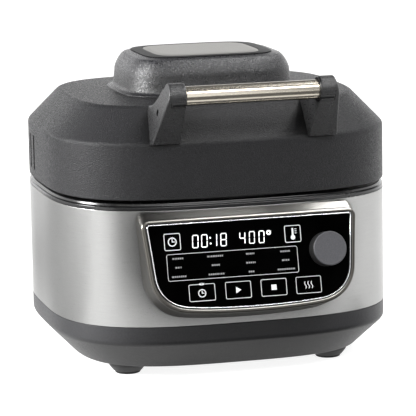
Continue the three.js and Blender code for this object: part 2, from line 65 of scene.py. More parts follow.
# ------------------------------------------------------------------ materials
class Mat:
    """A Principled material with helpers for procedural inputs."""

    def __init__(self, name, rough=0.5, metal=0.0, **consts):
        self.m = bpy.data.materials.new(name)
        self.m.use_nodes = True
        self.nt = self.m.node_tree
        self.bsdf = self.nt.nodes["Principled BSDF"]
        self.bsdf.inputs["Roughness"].default_value = rough
        self.bsdf.inputs["Metallic"].default_value = metal
        for k, v in consts.items():
            self.bsdf.inputs[k.replace("_", " ")].default_value = v
        self.tc = self.nt.nodes.new("ShaderNodeTexCoord")

    def node(self, kind, **props):
        n = self.nt.nodes.new(kind)
        for k, v in props.items():
            setattr(n, k, v)
        return n

    def link(self, a, b):
        self.nt.links.new(a, b)

    def noise(self, scale, detail=3.0, rough=0.55, stretch=(1, 1, 1), shift=(0, 0, 0), dist=0.0):
        mp = self.node("ShaderNodeMapping")
        mp.inputs["Scale"].default_value = [scale * s for s in stretch]
        mp.inputs["Location"].default_value = shift
        self.link(self.tc.outputs["Object"], mp.inputs["Vector"])
        n = self.node("ShaderNodeTexNoise")
        n.inputs["Scale"].default_value = 1.0
        n.inputs["Detail"].default_value = detail
        n.inputs["Roughness"].default_value = rough
        n.inputs["Distortion"].default_value = dist
        self.link(mp.outputs["Vector"], n.inputs["Vector"])
        return n.outputs["Fac"]

    def voronoi(self, scale, feature="F1", rnd=1.0):
        mp = self.node("ShaderNodeMapping")
        mp.inputs["Scale"].default_value = [scale] * 3
        self.link(self.tc.outputs["Object"], mp.inputs["Vector"])
        n = self.node("ShaderNodeTexVoronoi", feature=feature)
        n.inputs["Scale"].default_value = 1.0
        n.inputs["Randomness"].default_value = rnd
        self.link(mp.outputs["Vector"], n.inputs["Vector"])
        return n.outputs["Distance"]

    def ramp(self, fac, stops):
        r = self.node("ShaderNodeValToRGB")
        e = r.color_ramp.elements
        while len(e) < len(stops):
            e.new(0.5)
        for el, (p, c) in zip(e, stops):
            el.position = p
            el.color = c if hasattr(c, "__len__") else (c, c, c, 1)
        self.link(fac, r.inputs["Fac"])
        return r.outputs["Color"]

    def math(self, op, a, b=None, clamp=False):
        n = self.node("ShaderNodeMath", operation=op, use_clamp=clamp)
        for i, v in enumerate((a, b)):
            if v is None:
                continue
            if isinstance(v, (int, float)):
                n.inputs[i].default_value = v
            else:
                self.link(v, n.inputs[i])
        if op == "MULTIPLY_ADD":
            n.inputs[2].default_value = 0.8
        return n.outputs[0]

    def mix(self, fac, a, b, mode="MIX"):
        n = self.node("ShaderNodeMix", data_type="RGBA", blend_type=mode)
        for key, v in ((0, fac), (6, a), (7, b)):
            if isinstance(v, (int, float)):
                n.inputs[key].default_value = v
            elif isinstance(v, tuple):
                n.inputs[key].default_value = v
            else:
                self.link(v, n.inputs[key])
        return n.outputs[2]

    def painted_crevice_shade(self, col, dark, reach=0.06):
        """painted shade: darker where the surface is closed in, where shade falls (ambient occlusion mixed into the
        colour)
        """
        ao = self.node("ShaderNodeAmbientOcclusion", samples=8)
        ao.inputs["Distance"].default_value = reach
        f = self.ramp(ao.outputs["AO"], [(0.6, 1.0), (0.95, 0.0)])
        return self.mix(f, col, dark)

    def color(self, out):
        self.link(out, self.bsdf.inputs["Base Color"])

    def rough(self, fac, lo, hi):
        n = self.node("ShaderNodeMapRange")
        n.inputs["To Min"].default_value = lo
        n.inputs["To Max"].default_value = hi
        n.inputs["From Min"].default_value = 0.3
        n.inputs["From Max"].default_value = 0.7
        self.link(fac, n.inputs["Value"])
        self.link(n.outputs["Result"], self.bsdf.inputs["Roughness"])

    def bump(self, height, dist, strength=1.0, chain=None):
        n = self.node("ShaderNodeBump")
        n.inputs["Strength"].default_value = strength
        n.inputs["Distance"].default_value = dist
        self.link(height, n.inputs["Height"])
        if chain is not None:
            self.link(chain, n.inputs["Normal"])
        return n.outputs["Normal"]

    def normal(self, out):
        self.link(out, self.bsdf.inputs["Normal"])


def textured_plastic(name, base, grain=1.0, rough=0.55, painted_crevice_shade=False, fleck=1.0, spec=0.5):
    m = Mat(name, rough, Specular_IOR_Level=spec)
    fine = m.noise(1500, 2.0, 0.6)
    mid = m.noise(900, 2.0, 0.6, shift=(3, 1, 7))
    wide = m.noise(9, 3.0, 0.5)
    lo = tuple(c * (1 - 0.5 * fleck) for c in base[:3]) + (1,)
    hi = tuple(min(1, c * (1 + 0.9 * fleck)) for c in base[:3]) + (1,)
    speck = m.ramp(mid, [(0.38, lo), (0.5, base), (0.64, hi)])
    body = m.mix(m.math("MULTIPLY", m.math("SUBTRACT", wide, 0.35, True), 0.25), speck, lo)
    # painted shade: the colour darkens towards a tenth of the base in creases and closed-in places
    m.color(m.painted_crevice_shade(body, tuple(c * 0.1 for c in base[:3]) + (1,)) if painted_crevice_shade else body)
    m.rough(m.noise(560, 1.0, 0.5, shift=(6, 2, 4)), rough - 0.13 * fleck, rough + 0.15 * fleck)
    m.normal(m.bump(fine, 0.00035 * grain, 0.55, m.bump(mid, 0.00055 * grain, 0.6)))
    return m.m


def smooth_plastic(name, base, rough=0.4, orange=1.0):
    m = Mat(name, rough, Specular_IOR_Level=0.5)
    a = m.noise(420, 2.0, 0.5)
    w = m.noise(14, 3.0, 0.5)
    dark = tuple(c * 0.9 for c in base[:3]) + (1,)
    lite = tuple(min(1, c * 1.08) for c in base[:3]) + (1,)
    m.color(m.ramp(w, [(0.35, dark), (0.65, lite)]))
    m.rough(m.noise(60, 3.0, 0.5, shift=(5, 5, 5)), rough - 0.04, rough + 0.06)
    m.normal(m.bump(a, 0.00012 * orange, 0.4))
    return m.m


def brushed(name, base, rough=0.3, stretch=(1, 1, 60), scale=28, aniso=0.5, axis="Z", depth=1.0, tone=1.0, top=None, shade=0.0):
    m = Mat(name, rough, 1.0, Anisotropic=aniso)
    if aniso:
        t = m.node("ShaderNodeTangent", direction_type="RADIAL", axis=axis)
        m.link(t.outputs["Tangent"], m.bsdf.inputs["Tangent"])
    line = m.noise(scale, 4.0, 0.7, stretch)
    fine = m.noise(scale * 2.3, 3.0, 0.7, stretch, (2, 3, 4))
    soft = m.noise(7, 3.0, 0.5)
    dark = tuple(c * (1 - 0.09 * tone) for c in base[:3]) + (1,)
    lite = tuple(min(1, c * (1 + 0.06 * tone)) for c in base[:3]) + (1,)
    col = m.ramp(line, [(0.3, dark), (0.5, base), (0.7, lite)])
    col = m.mix(m.math("MULTIPLY", soft, 0.12), col, dark)
    if top:                                   # painted highlight: faces that look up get the brighter top colour, which fades to painted shade towards the left end (object X)
        up = m.node("ShaderNodeSeparateXYZ")
        m.link(m.tc.outputs["Normal"], up.inputs[0])
        xs = m.node("ShaderNodeSeparateXYZ")
        m.link(m.tc.outputs["Object"], xs.inputs[0])
        painted_top_light = m.ramp(m.math("MULTIPLY_ADD", xs.outputs["X"], 8.0), [(0.02, tuple(c * 0.3 for c in top[:3]) + (1,)), (0.5, top)])
        col = m.mix(m.ramp(up.outputs["Z"], [(0.35, 0.0), (0.85, 1.0)]), col, painted_top_light)
    # painted shade: the steel darkens where it is closed in, under the bezel and the lid
    if shade:
        col = m.painted_crevice_shade(col, tuple(c * (1 - shade) for c in base[:3]) + (1,), 0.04)
    m.color(col)
    m.rough(fine, rough - 0.05 * tone, rough + 0.08 * tone)
    if depth:
        m.normal(m.bump(fine, 0.00006 * depth, 0.35))
    return m.m


def glossy(name, base, rough=0.08, coat=0.0, spec=0.5):
    m = Mat(name, rough, Specular_IOR_Level=spec, Coat_Weight=coat, Coat_Roughness=0.05)
    w = m.noise(30, 3.0, 0.5)
    lite = tuple(min(1, c * 1.25 + 0.0005) for c in base[:3]) + (1,)
    m.color(m.ramp(w, [(0.35, base), (0.7, lite)]))
    m.rough(m.noise(180, 3.0, 0.6, shift=(1, 2, 3)), rough, rough + 0.04)
    m.normal(m.bump(m.noise(90, 2.0, 0.5), 0.00003, 0.25))
    return m.m


def printed(name, col, glow=0.0):
    m = Mat(name, 0.45, Emission_Strength=glow)
    m.bsdf.inputs["Emission Color"].default_value = col
    f = m.noise(900, 3.0, 0.6)
    dim = tuple(c * 0.78 for c in col[:3]) + (1,)
    m.color(m.ramp(f, [(0.3, dim), (0.6, col)]))
    return m.m


MAT = {
    # lid, dome, bracket and base: the True argument turns on the painted crevice shade
    "lid": textured_plastic("lid_plastic", srgb(20, 20, 22), 1.7, 0.42, True, spec=0.25),
    "dome": textured_plastic("dome_plastic", srgb(28, 28, 31), 1.5, 0.33, True, spec=0.6),
    "bracket": textured_plastic("bracket_plastic", srgb(28, 28, 29), 0.9, 0.36, True, spec=0.45),
    "base": textured_plastic("base_plastic", srgb(40, 40, 42), 0.5, 0.42, True, 0.3, spec=0.33),
    "deck": smooth_plastic("deck_plastic", srgb(16, 16, 17), 0.22, 0.3),
    "dark": smooth_plastic("dark_plastic", srgb(14, 14, 15), 0.55),
    "black": glossy("gloss_black", srgb(8, 8, 9), 0.2, 0.0, 0.35),
    # the band steel gets painted shade where it is closed in (shade=0.6)
    "steel": brushed("band_steel", srgb(160, 160, 159), 0.3, (1, 1, 40), 55, 0.55, tone=0.7, shade=0.6),
    # the top colour is the bezel's painted highlight on its upward faces
    "bezel": brushed("bezel_steel", srgb(86, 84, 80), 0.31, (1, 12, 12), 60, 0.0, depth=0.1, tone=0.4, top=srgb(180, 178, 174)),
    "plate": brushed("dome_plate_steel", srgb(144, 142, 138), 0.42, (1, 34, 1), 60, 0.0),
    "bar": brushed("bar_steel", srgb(178, 172, 160), 0.2, (0.15, 50, 50), 24, 0.0, depth=0.02, tone=0.15),
    "inner_steel": brushed("inner_steel", srgb(176, 175, 172), 0.34, (1, 1, 1), 14, 0.0, depth=0.0, tone=0.5),
    "alu": brushed("well_aluminium", srgb(186, 187, 188), 0.36, (2, 2, 30), 40, 0.0),
    "cast": brushed("cast_aluminium", srgb(150, 151, 153), 0.5, (3, 3, 3), 160, 0.0, depth=2.0),
    "chrome": brushed("chrome_trim", srgb(232, 233, 236), 0.2, (1, 4, 4), 60, 0.0, depth=0.3, tone=0.5),
    "glass": glossy("panel_glass", srgb(1, 1, 1), 0.06, 0.0, 0.0),
    "knob": textured_plastic("knob_plastic", srgb(60, 60, 64), 0.12, 0.6, False, 0.22),
    "knob_side": smooth_plastic("knob_side", srgb(9, 9, 9), 0.5),
    "rubber": smooth_plastic("rubber", srgb(9, 9, 9), 0.8),
    "ink": printed("panel_ink", (0.72, 0.73, 0.75, 1), 0.25),
    "trim": glossy("dome_trim_black", srgb(7, 7, 8), 0.4, 0.0, 0.04),
    "faint": printed("panel_labels", (0.26, 0.26, 0.27, 1), 0.12),
    "digit": printed("panel_digits", (1.0, 1.0, 1.0, 1), 1.6),
    "board": smooth_plastic("circuit_board", srgb(28, 92, 60), 0.4),
    "copper": smooth_plastic("copper_winding", srgb(150, 92, 46), 0.4),
    "sheath": brushed("heater_sheath", srgb(92, 86, 80), 0.42, (3, 3, 3), 200, 0.0),
}


def nonstick():
    m = Mat("nonstick_coating", 0.42, Specular_IOR_Level=0.5, Coat_Weight=0.15, Coat_Roughness=0.2)
    v = m.voronoi(420)
    w = m.noise(700, 2.0, 0.5)
    m.color(m.ramp(v, [(0.05, srgb(120, 118, 114)), (0.14, srgb(44, 44, 46)), (1.0, srgb(33, 33, 35))]))
    m.rough(w, 0.34, 0.48)
    m.normal(m.bump(w, 0.0001, 0.4))
    return m.m


MAT["coat"] = nonstick()

# every CAD node that stays gets a procedural finish by its slot
SLOT_MAT = {
    "lid_plastic": "lid", "base_plastic": "base", "deck_plastic": "deck", "gloss_black": "black", "dark_plastic": "dark",
    "knob_plastic": "knob", "band_steel": "steel", "bar_steel": "bar", "inner_steel": "inner_steel", "chrome_trim": "chrome",
    "panel_glass": "glass", "well_aluminium": "alu", "cast_aluminium": "cast", "nonstick_coating": "coat",
    "heater_sheath": "sheath", "rubber": "rubber", "circuit_board": "board", "copper_winding": "copper",
}
NODE_SLOT = {s["node"]: s["material_slot"] for s in frame["record"]["subparts"]}
for name, ob in frame["nodes"].items():
    ob.data.materials.clear()
    ob.data.materials.append(MAT[SLOT_MAT[NODE_SLOT[name]]])


# ------------------------------------------------------------------ mesh helpers
def new_mesh(name, verts, faces, mat, body, replaces=(), angle=38, local=False, wn=True):
    """verts in mm about the body's centre (or already placed metres when local)."""
    v = np.asarray(verts, float)
    if not local:
        v = np.c_[v[:, 0], v[:, 1] + BY, v[:, 2]] / 1000.0
    me = bpy.data.meshes.new(name)
    me.from_pydata(v.tolist(), [], [list(f) for f in faces])
    me.validate()
    bm = bmesh.new()
    bm.from_mesh(me)
    bmesh.ops.remove_doubles(bm, verts=bm.verts, dist=1e-7)
    bmesh.ops.recalc_face_normals(bm, faces=bm.faces)
    bm.to_mesh(me)
    bm.free()
    ob = bpy.data.objects.new(name, me)
    bpy.context.scene.collection.objects.link(ob)
    return finish_piece(ob, mat, body, replaces, angle, wn)


def finish_piece(ob, mat, body, replaces=(), angle=38, wn=True):
    me = ob.data
    for mt in (mat if isinstance(mat, (list, tuple)) else [mat]):
        me.materials.append(MAT[mt])
    me.shade_smooth()
    if angle:
        me.set_sharp_from_angle(angle=math.radians(angle))
    if wn:
        w = ob.modifiers.new("wn", "WEIGHTED_NORMAL")
        w.keep_sharp = True
        w.weight = 60
    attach(ob, body)
    if replaces:
        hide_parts(*replaces)
    return ob


def R(i, z, r=0.0):                       # body outline, inset i
    return (HW - i, HD - i, NB, z, 0.0, r)


def C(rad, z, r=0.0, y=0.0):              # circle
    return (rad, rad, 2.0, z, y, r)


def Q(a, b, n, z, r=0.0, y=DOME_Y):
    return (a, b, n, z, y, r)


def profile(pts, closed, k=5):
    """Rounds each corner of the ring list that has a radius."""
    P = [np.array(p[:5], float) for p in pts]
    out, n = [], len(P)
    for i, p in enumerate(P):
        r = pts[i][5]
        if r <= 0 or (not closed and i in (0, n - 1)):
            out.append(p)
            continue
        a, b = P[i - 1], P[(i + 1) % n]
        la = math.hypot(a[0] - p[0], a[3] - p[3])
        lb = math.hypot(b[0] - p[0], b[3] - p[3])
        ra, rb = min(r, la * 0.48), min(r, lb * 0.48)
        s, e = p + (a - p) * ra / la, p + (b - p) * rb / lb
        for j in range(k + 1):
            t = j / k
            out.append(s * (1 - t) ** 2 + p * 2 * t * (1 - t) + e * t * t)
    return out


def ring(p, N):
    t = np.arange(N) * 2 * np.pi / N
    th = t + LIFT * np.sin(4 * t)
    c, s = np.cos(th), np.sin(th)
    if p[0] < 1e-6:
        return np.array([[0, p[4], p[3]]])
    rr = (np.abs(c / p[0]) ** p[2] + np.abs(s / max(p[1], 1e-6)) ** p[2]) ** (-1 / p[2])
    return np.c_[rr * c, p[4] + rr * s, np.full(N, p[3])]


def skin(rings, closed):
    """verts and quads of a stack of rings; a ring of one point is a pole."""
    V, F, start = [], [], []
    for r in rings:
        start.append(sum(len(x) for x in V))
        V.append(r)
    m = len(rings)
    for j in range(m if closed else m - 1):
        a, b = rings[j], rings[(j + 1) % m]
        sa, sb = start[j], start[(j + 1) % m]
        N = max(len(a), len(b))
        if len(a) == 1 and len(b) == 1:
            continue
        for i in range(N):
            k = (i + 1) % N
            if len(a) == 1:
                F.append((sa, sb + i, sb + k))
            elif len(b) == 1:
                F.append((sa + i, sb, sa + k))
            else:
                F.append((sa + i, sb + i, sb + k, sa + k))
    return np.vstack(V), F


def loft(name, pts, mat, body, replaces=(), closed=True, N=NS, k=5, angle=38):
    v, f = skin([ring(p, N) for p in profile(pts, closed, k)], closed)
    return new_mesh(name, v, f, mat, body, replaces, angle)


def raw(name, verts, faces):
    """a helper object for booleans, in mm about the body's centre"""
    v = np.asarray(verts, float)
    v = np.c_[v[:, 0], v[:, 1] + BY, v[:, 2]] / 1000.0
    me = bpy.data.meshes.new(name)
    me.from_pydata(v.tolist(), [], [list(f) for f in faces])
    me.validate()
    bm = bmesh.new(); bm.from_mesh(me)
    bmesh.ops.remove_doubles(bm, verts=bm.verts, dist=1e-7)
    bmesh.ops.recalc_face_normals(bm, faces=bm.faces)
    bm.to_mesh(me); bm.free()
    ob = bpy.data.objects.new(name, me)
    bpy.context.scene.collection.objects.link(ob)
    return ob


def boolean(ob, tools, op="DIFFERENCE"):
    """applies the cut and removes the tools"""
    if not isinstance(tools, (list, tuple)):
        tools = [tools]
    for t in tools:
        md = ob.modifiers.new("b", "BOOLEAN")
        md.operation, md.object, md.solver = op, t, "EXACT"
        bpy.context.view_layer.update()
        dg = bpy.context.evaluated_depsgraph_get()
        me = bpy.data.meshes.new_from_object(ob.evaluated_get(dg))
        ob.modifiers.clear()
        old = ob.data
        ob.data = me
        bpy.data.meshes.remove(old)
        bpy.data.objects.remove(t, do_unlink=True)
    return ob


def slot_cutter(name, axis, size, corner, at, k=6):
    """a stadium-like rounded box: axis is the cut direction; size (u, v, depth)"""
    u, v, d = size
    pts = []
    for cx, cy, a0 in ((u / 2 - corner, v / 2 - corner, 0), (-u / 2 + corner, v / 2 - corner, 90),
                       (-u / 2 + corner, -v / 2 + corner, 180), (u / 2 - corner, -v / 2 + corner, 270)):
        for i in range(k + 1):
            a = math.radians(a0 + 90 * i / k)
            pts.append((cx + corner * math.cos(a), cy + corner * math.sin(a)))
    n = len(pts)
    vs = []
    for s in (-d / 2, d / 2):
        for p in pts:
            if axis == "x":
                vs.append((at[0] + s, at[1] + p[0], at[2] + p[1]))
            elif axis == "y":
                vs.append((at[0] + p[0], at[1] + s, at[2] + p[1]))
            else:
                vs.append((at[0] + p[0], at[1] + p[1], at[2] + s))
    fs = [tuple(range(n)), tuple(range(2 * n - 1, n - 1, -1))]
    fs += [(i, (i + 1) % n, n + (i + 1) % n, n + i) for i in range(n)]
    return raw(name, vs, fs)


def turned(name, prof, mat, body, replaces=(), closed=True, N=64, axis="z", at=(0, 0, 0), k=5, angle=38):
    """a lathe of (radius, station, corner) points about an axis through at"""
    pts = [(r, r, 2.0, z, 0.0, c) for r, z, c in prof]
    P = profile(pts, closed, k)
    t = np.arange(N) * 2 * np.pi / N
    rings = []
    for p in P:
        if p[0] < 1e-6:
            q = np.array([[0, 0, p[3]]])
        else:
            q = np.c_[p[0] * np.cos(t), p[0] * np.sin(t), np.full(N, p[3])]
        if axis == "x":
            q = q[:, [2, 0, 1]]
        elif axis == "y":
            q = q[:, [0, 2, 1]]
        rings.append(q + np.array(at))
    v, f = skin(rings, closed)
    return new_mesh(name, v, f, mat, body, replaces, angle)


def panel_pt(x, v, n):
    return (x, PANEL_Y + v * ST - n * CT, PANEL_Z + v * CT + n * ST)


def tube_path(points, radius, sides=12, closed=False, taper=None):
    """a swept round section along points (mm)"""
    P = np.asarray(points, float)
    n = len(P)
    T = np.zeros_like(P)
    for i in range(n):
        a = P[(i - 1) % n] if closed or i > 0 else P[i]
        b = P[(i + 1) % n] if closed or i < n - 1 else P[i]
        T[i] = (b - a) / np.linalg.norm(b - a)
    up = np.array([0, 0, 1.0]) if abs(T[0][2]) < 0.9 else np.array([1.0, 0, 0])
    rings = []
    u = np.cross(T[0], up); u /= np.linalg.norm(u)
    for i in range(n):
        u = u - T[i] * (u @ T[i]); u /= np.linalg.norm(u)
        w = np.cross(T[i], u)
        r = radius if taper is None else radius * taper[i]
        a = np.arange(sides) * 2 * np.pi / sides
        rings.append(P[i] + r * (np.outer(np.cos(a), u) + np.outer(np.sin(a), w)))
    if closed:
        return skin(rings, True)
    return skin([P[:1]] + rings + [P[-1:]], False)


def join_parts(parts):
    V, F, o = [], [], 0
    for v, f in parts:
        V.append(np.asarray(v, float))
        F += [tuple(i + o for i in q) for q in f]
        o += len(v)
    return np.vstack(V), F


def extrude_x(pts, x0, x1, round_=0.8, k=3, xin=None, xout=None):
    """a plate with the outline pts (y, z), between x0 and x1, its rims rounded. Optional functions of z give a taper."""
    P = np.asarray(pts, float)
    n = len(P)
    nxt, prv = np.roll(P, -1, 0), np.roll(P, 1, 0)
    t1 = (P - prv) / (np.linalg.norm(P - prv, axis=1, keepdims=True) + 1e-9)
    t2 = (nxt - P) / (np.linalg.norm(nxt - P, axis=1, keepdims=True) + 1e-9)
    n1, n2 = np.c_[t1[:, 1], -t1[:, 0]], np.c_[t2[:, 1], -t2[:, 0]]
    area = 0.5 * np.sum(P[:, 0] * nxt[:, 1] - nxt[:, 0] * P[:, 1])
    sgn = 1 if area > 0 else -1
    m = (n1 + n2)
    ln = np.linalg.norm(m, axis=1, keepdims=True)
    m = m / ln
    c = np.clip((m * n1).sum(1, keepdims=True), 0.45, 1)
    N = sgn * m / c
    rings = []
    offs = []
    for j in range(k + 1):
        a = math.pi / 2 * j / k
        offs.append((round_ * (1 - math.cos(a)), -round_ * (1 - math.sin(a))))
    seq = [("in", d, o) for d, o in offs] + [("out", d, o) for d, o in reversed(offs)]
    for side, d, o in seq:
        q = P + N * o
        if side == "in":
            xs = (xin(q[:, 1]) if xin else np.full(n, x0)) + d * (1 if x1 > x0 else -1)
        else:
            xs = (xout(q[:, 1]) if xout else np.full(n, x1)) - d * (1 if x1 > x0 else -1)
        rings.append(np.c_[xs, q[:, 0], q[:, 1]])
    v, f = skin(rings, False)
    f = list(f) + [tuple(range(n)), tuple(range(len(v) - 1, len(v) - 1 - n, -1))]
    return v, f


# ------------------------------------------------------------------ base
base = loft("base_shell", [R(28, 11.7, 1.6), R(0, 40.8, 3.2), R(0, 58.1, 0.5), R(1.4, 58.1), R(1.4, 174), R(4, 174), R(4, 43, 3),
                           R(29.5, 17.3), R(36, 17.3), R(36, 14.6), R(30.4, 14.6), R(30.4, 11.7, 0.8)],
            "base", "root", ["base_housing"])


def box_cutter(x0, x1, y0, y1, z0, z1):
    v = [(x, y, z) for x in (x0, x1) for y in (y0, y1) for z in (z0, z1)]
    f = [(0, 1, 3, 2), (4, 6, 7, 5), (0, 4, 5, 1), (2, 3, 7, 6), (0, 2, 6, 4), (1, 5, 7, 3)]
    return raw("cut", v, f)


def rod_cutter(axis, r, a, b, at, N=48):
    """at is the two other coordinates in order"""
    t = np.arange(N) * 2 * np.pi / N
    vs = []
    for s in (a, b):
        for q in t:
            u, w = at[0] + r * math.cos(q), at[1] + r * math.sin(q)
            vs.append({"x": (s, u, w), "y": (u, s, w), "z": (u, w, s)}[axis])
    fs = [tuple(range(N)), tuple(range(2 * N - 1, N - 1, -1))]
    fs += [(i, (i + 1) % N, N + (i + 1) % N, N + i) for i in range(N)]
    return raw("cut", vs, fs)


def recut(ob, tools, angle=38):
    """cuts a finished piece, keeping its modifiers and its marks"""
    ob.modifiers.clear()
    boolean(ob, tools)
    ob.data.shade_smooth()
    ob.data.set_sharp_from_angle(angle=math.radians(angle))
    w = ob.modifiers.new("wn", "WEIGHTED_NORMAL")
    w.keep_sharp = True
    w.weight = 60
    return ob


recut(base, [box_cutter(-92, 92, -200, -118, 86, 158), rod_cutter("y", 6.8, 130, 175, (-70, 49.4))])

band = loft("band_sheet", [R(0, 58.4, 0.35), R(0, 174.1, 0.5), R(1.1, 174.1), R(1.1, 58.4)], "steel", "root", ["steel_band"], N=288)
recut(band, [box_cutter(-92, 92, -200, -118, 86, 158)])

loft("deck_rim", [R(0.2, 174.5, 0.3), R(0.2, 177.6, 0.6), R(2, 178.4, 0.6), R(2.6, 181, 0.9), C(134.5, 181, 0.6), C(134.5, 177),
                  R(6, 177), R(6, 174.5)], "deck", "root", ["deck_ring"], k=4)

# underside: cover plate with feet and slots
parts = [skin([ring(p, 160) for p in profile([R(0, 14.3)[:0] or (0, 0, 2, 14.3, 0, 0), R(30.8, 14.3, .4), R(30.8, 11.9, .6), (0, 0, 2, 11.9, 0, 0)], False, 4)], False)]
v, f = join_parts(parts)
cover = new_mesh("cover_plate", v, f, "dark", "root", ["bottom_cover"])
recut(cover, [slot_cutter("s", "z", (5, 40, 30), 2.4, (14 * i, 40, 12)) for i in range(-2, 3)])
for tag, sx, sy in (("front_left", -1, -1), ("front_right", 1, -1), ("rear_left", -1, 1), ("rear_right", 1, 1)):
    turned("foot_boss_" + tag, [(0, 12.4, 0), (19, 12.4, .1), (19, 8.6, 1.2), (14.3, 2.6, .6), (13.1, 2.6, .3), (13.1, 6.6, .3), (0, 6.6, 0)], "dark", "root",
           [], closed=False, at=(sx * 105.5, sy * 84, 0), N=96)
for tag, sx, sy in (("front_left", -1, -1), ("front_right", 1, -1), ("rear_left", -1, 1), ("rear_right", 1, 1)):
    turned("foot_" + tag, [(0, 0, 0), (12, 0, .8), (12.8, .8, .4), (12.8, 6.3, .2), (0, 6.3, 0)], "rubber", "root",
           ["foot_pad_" + tag], closed=False, at=(sx * 105.5, sy * 84, 0))

# ------------------------------------------------------------------ cooking well, pot and grill plate
loft("well_wall", [C(139, 181.3, .3), C(139, 182.3, .3), C(125.3, 182.3, .9), C(125.3, 47, 3), C(122, 43.7, 2), C(19, 43.7, .5), C(19, 42.5, .5),
                   C(122.4, 42.5, 3), C(126.5, 46.6, 3), C(126.5, 181.3, .3)], "alu", "root", ["cooking_well"], N=144)
loft("hot_plate", [C(19, 54.4, .8), C(19, 44, .8), C(88, 44, 2), C(95, 48, 2), C(95, 53.4, 1), C(94, 54.4, .6)], "cast", "root",
     ["heating_plate"], N=128)
turned("sensor_button", [(0, 54.5, 0), (16, 54.5, 1.2), (17.4, 53.2, 1), (17.4, 38, .4), (15.6, 38, .4), (15.6, 53.7, .4), (0, 53.7, 0)], "alu", "sensor",
       ["sensor_cap"], closed=False)
turned("pot_shell", [(0, 54.8, 0), (112.5, 54.8, 4), (118.5, 57.8, 4), (121.5, 63.8, 4), (121.5, 182.6, .8), (129.3, 182.6, .6), (129.3, 184.2, .6),
                     (121.9, 184.4, 1.2), (119.9, 182.4, 1.2), (119.9, 64.3, 4), (117.3, 59, 4), (111.9, 56.4, 4), (0, 56.4, 0)],
       "coat", "pot", ["inner_pot"], closed=False, N=144)

gparts = []
prof = profile([(0, 0, 2, 74, 0, 0), C(108, 74, 2), C(112, 77, 1.4), C(112, 80, .6), C(110.5, 80, .5), C(107.5, 76.4, 1.4), (0, 0, 2, 76.4, 0, 0)], False, 4)
gparts.append(skin([ring(p, 128) for p in prof], False))
for a in (45, 135, 225, 315):
    prof = profile([(0, 0, 2, 57, 0, 0), C(4, 57, 1), C(4, 75, 0), (0, 0, 2, 75, 0, 0)], False, 4)
    v, f = skin([ring(p, 32) for p in prof], False)
    gparts.append((v + np.array([92 * math.cos(math.radians(a)), 92 * math.sin(math.radians(a)), 0]), f))
v, f = join_parts(gparts)
grill = new_mesh("grill_disc", v, f, "coat", "grill", ["grill_plate"])
recut(grill, [slot_cutter("s", "z", (4, 40, 30), 1.95, (k * 25 - 62.5, 0, 75)) for k in range(6)])
for i in range(-3, 4):
    x = i * 25
    h = math.sqrt(104 ** 2 - x ** 2)
    sec = [(-2, 75.2), (-2, 78.6), (-1.5, 79.6), (-.6, 80), (.6, 80), (1.5, 79.6), (2, 78.6), (2, 75.2)]
    rs = []
    for y, s in ((-h, .02), (-h + .4, .7), (-h + 1.6, .93), (-h + 4, 1), (0, 1), (h - 4, 1), (h - 1.6, .93), (h - .4, .7), (h, .02)):
        rs.append(np.array([[x + a * (0.4 + .6 * s), y, 75.2 + (b - 75.2) * s] for a, b in sec]))
    v, f = skin(rs, False)
    n = len(sec)
    f = list(f) + [tuple(range(n)), tuple(range(len(v) - 1, len(v) - 1 - n, -1))]
    new_mesh("grill_rib_%d" % (i + 4), v, f, "coat", "grill", [], angle=50)

# ------------------------------------------------------------------ lid
lid = loft("lid_cover", [R(0, 184.3, 1.0), R(0, 239.6, 2.6), R(29.1, 271.0, 2.2), R(32.3, 272.5, 1.0), Q(79, 63, 3.4, 274.4), Q(79, 63, 3.4, 271.6),
                         R(34, 269.6, 2), R(3, 237.6, 2), R(3, 184.3, .6)], "lid", "lid", ["lid_shell"], N=288)
cuts = []
for y in (24.5, 42.5, 60.5, 78.5, 96.5):
    for s in (-1, 1):
        cuts.append(slot_cutter("s", "x", (5.6, 36, 60), 2.6, (s * 165, y, 211)))
recut(lid, cuts)

loft("dome_body", [Q(92.4, 76.9, 3.8, 273.8, 0), Q(92.2, 76.7, 3.8, 274.4, .3), Q(88.2, 72.7, 3.8, 275.6, 2.0), Q(86.6, 71.1, 3.8, 278.6, 2.0), Q(85.3, 69.8, 3.8, 290, 3.0), Q(84.9, 69.5, 3.8, 294.6, 3.0), Q(83.4, 68.4, 3.8, 298.6, 3.0), Q(81.3, 66.8, 3.9, 302.4, 3.0),
                   Q(78.6, 64.8, 4, 306.2, 2.0), Q(75.6, 62.8, 4.1, 308.8, 1.2), (67.3, 58.8, 4.4, 310.4, 5.0, .4), (67.3, 58.8, 4.4, 308.2, 5.0, 0), Q(46, 38, 4, 308.2), Q(46, 38, 4, 305.6),
                   Q(74.4, 60.6, 4, 304.4), Q(82.2, 66.8, 3.8, 291.6), Q(83.2, 67.7, 3.8, 273.8)], "dome", "lid", ["dome_cover"], N=256)
loft("dome_ring", [(67.0, 58.5, 4.4, 308.5, 5.0, 0), (67.0, 58.5, 4.4, 311.1, 5.0, .35), (57.3, 53.5, 4.5, 311.7, 5.5, .6), (54.8, 51.0, 4.5, 311.5, 5.5, .4), (54.8, 51.0, 4.5, 308.5, 5.5, 0)],
     "trim", "lid", ["dome_trim"], N=224)
loft("dome_inlay", [(0, 0, 2, 312, 5.5, 0), (25, 22, 4.5, 312, 5.5, 0), (49.3, 45.5, 4.5, 312, 5.5, 1.5), (54.5, 50.7, 4.5, 311.4, 5.5, .3), (54.5, 50.7, 4.5, 308.5, 5.5, 0),
                    (0, 0, 2, 308.5, 5.5, 0)], "plate", "lid", ["dome_plate"], closed=False, N=224)

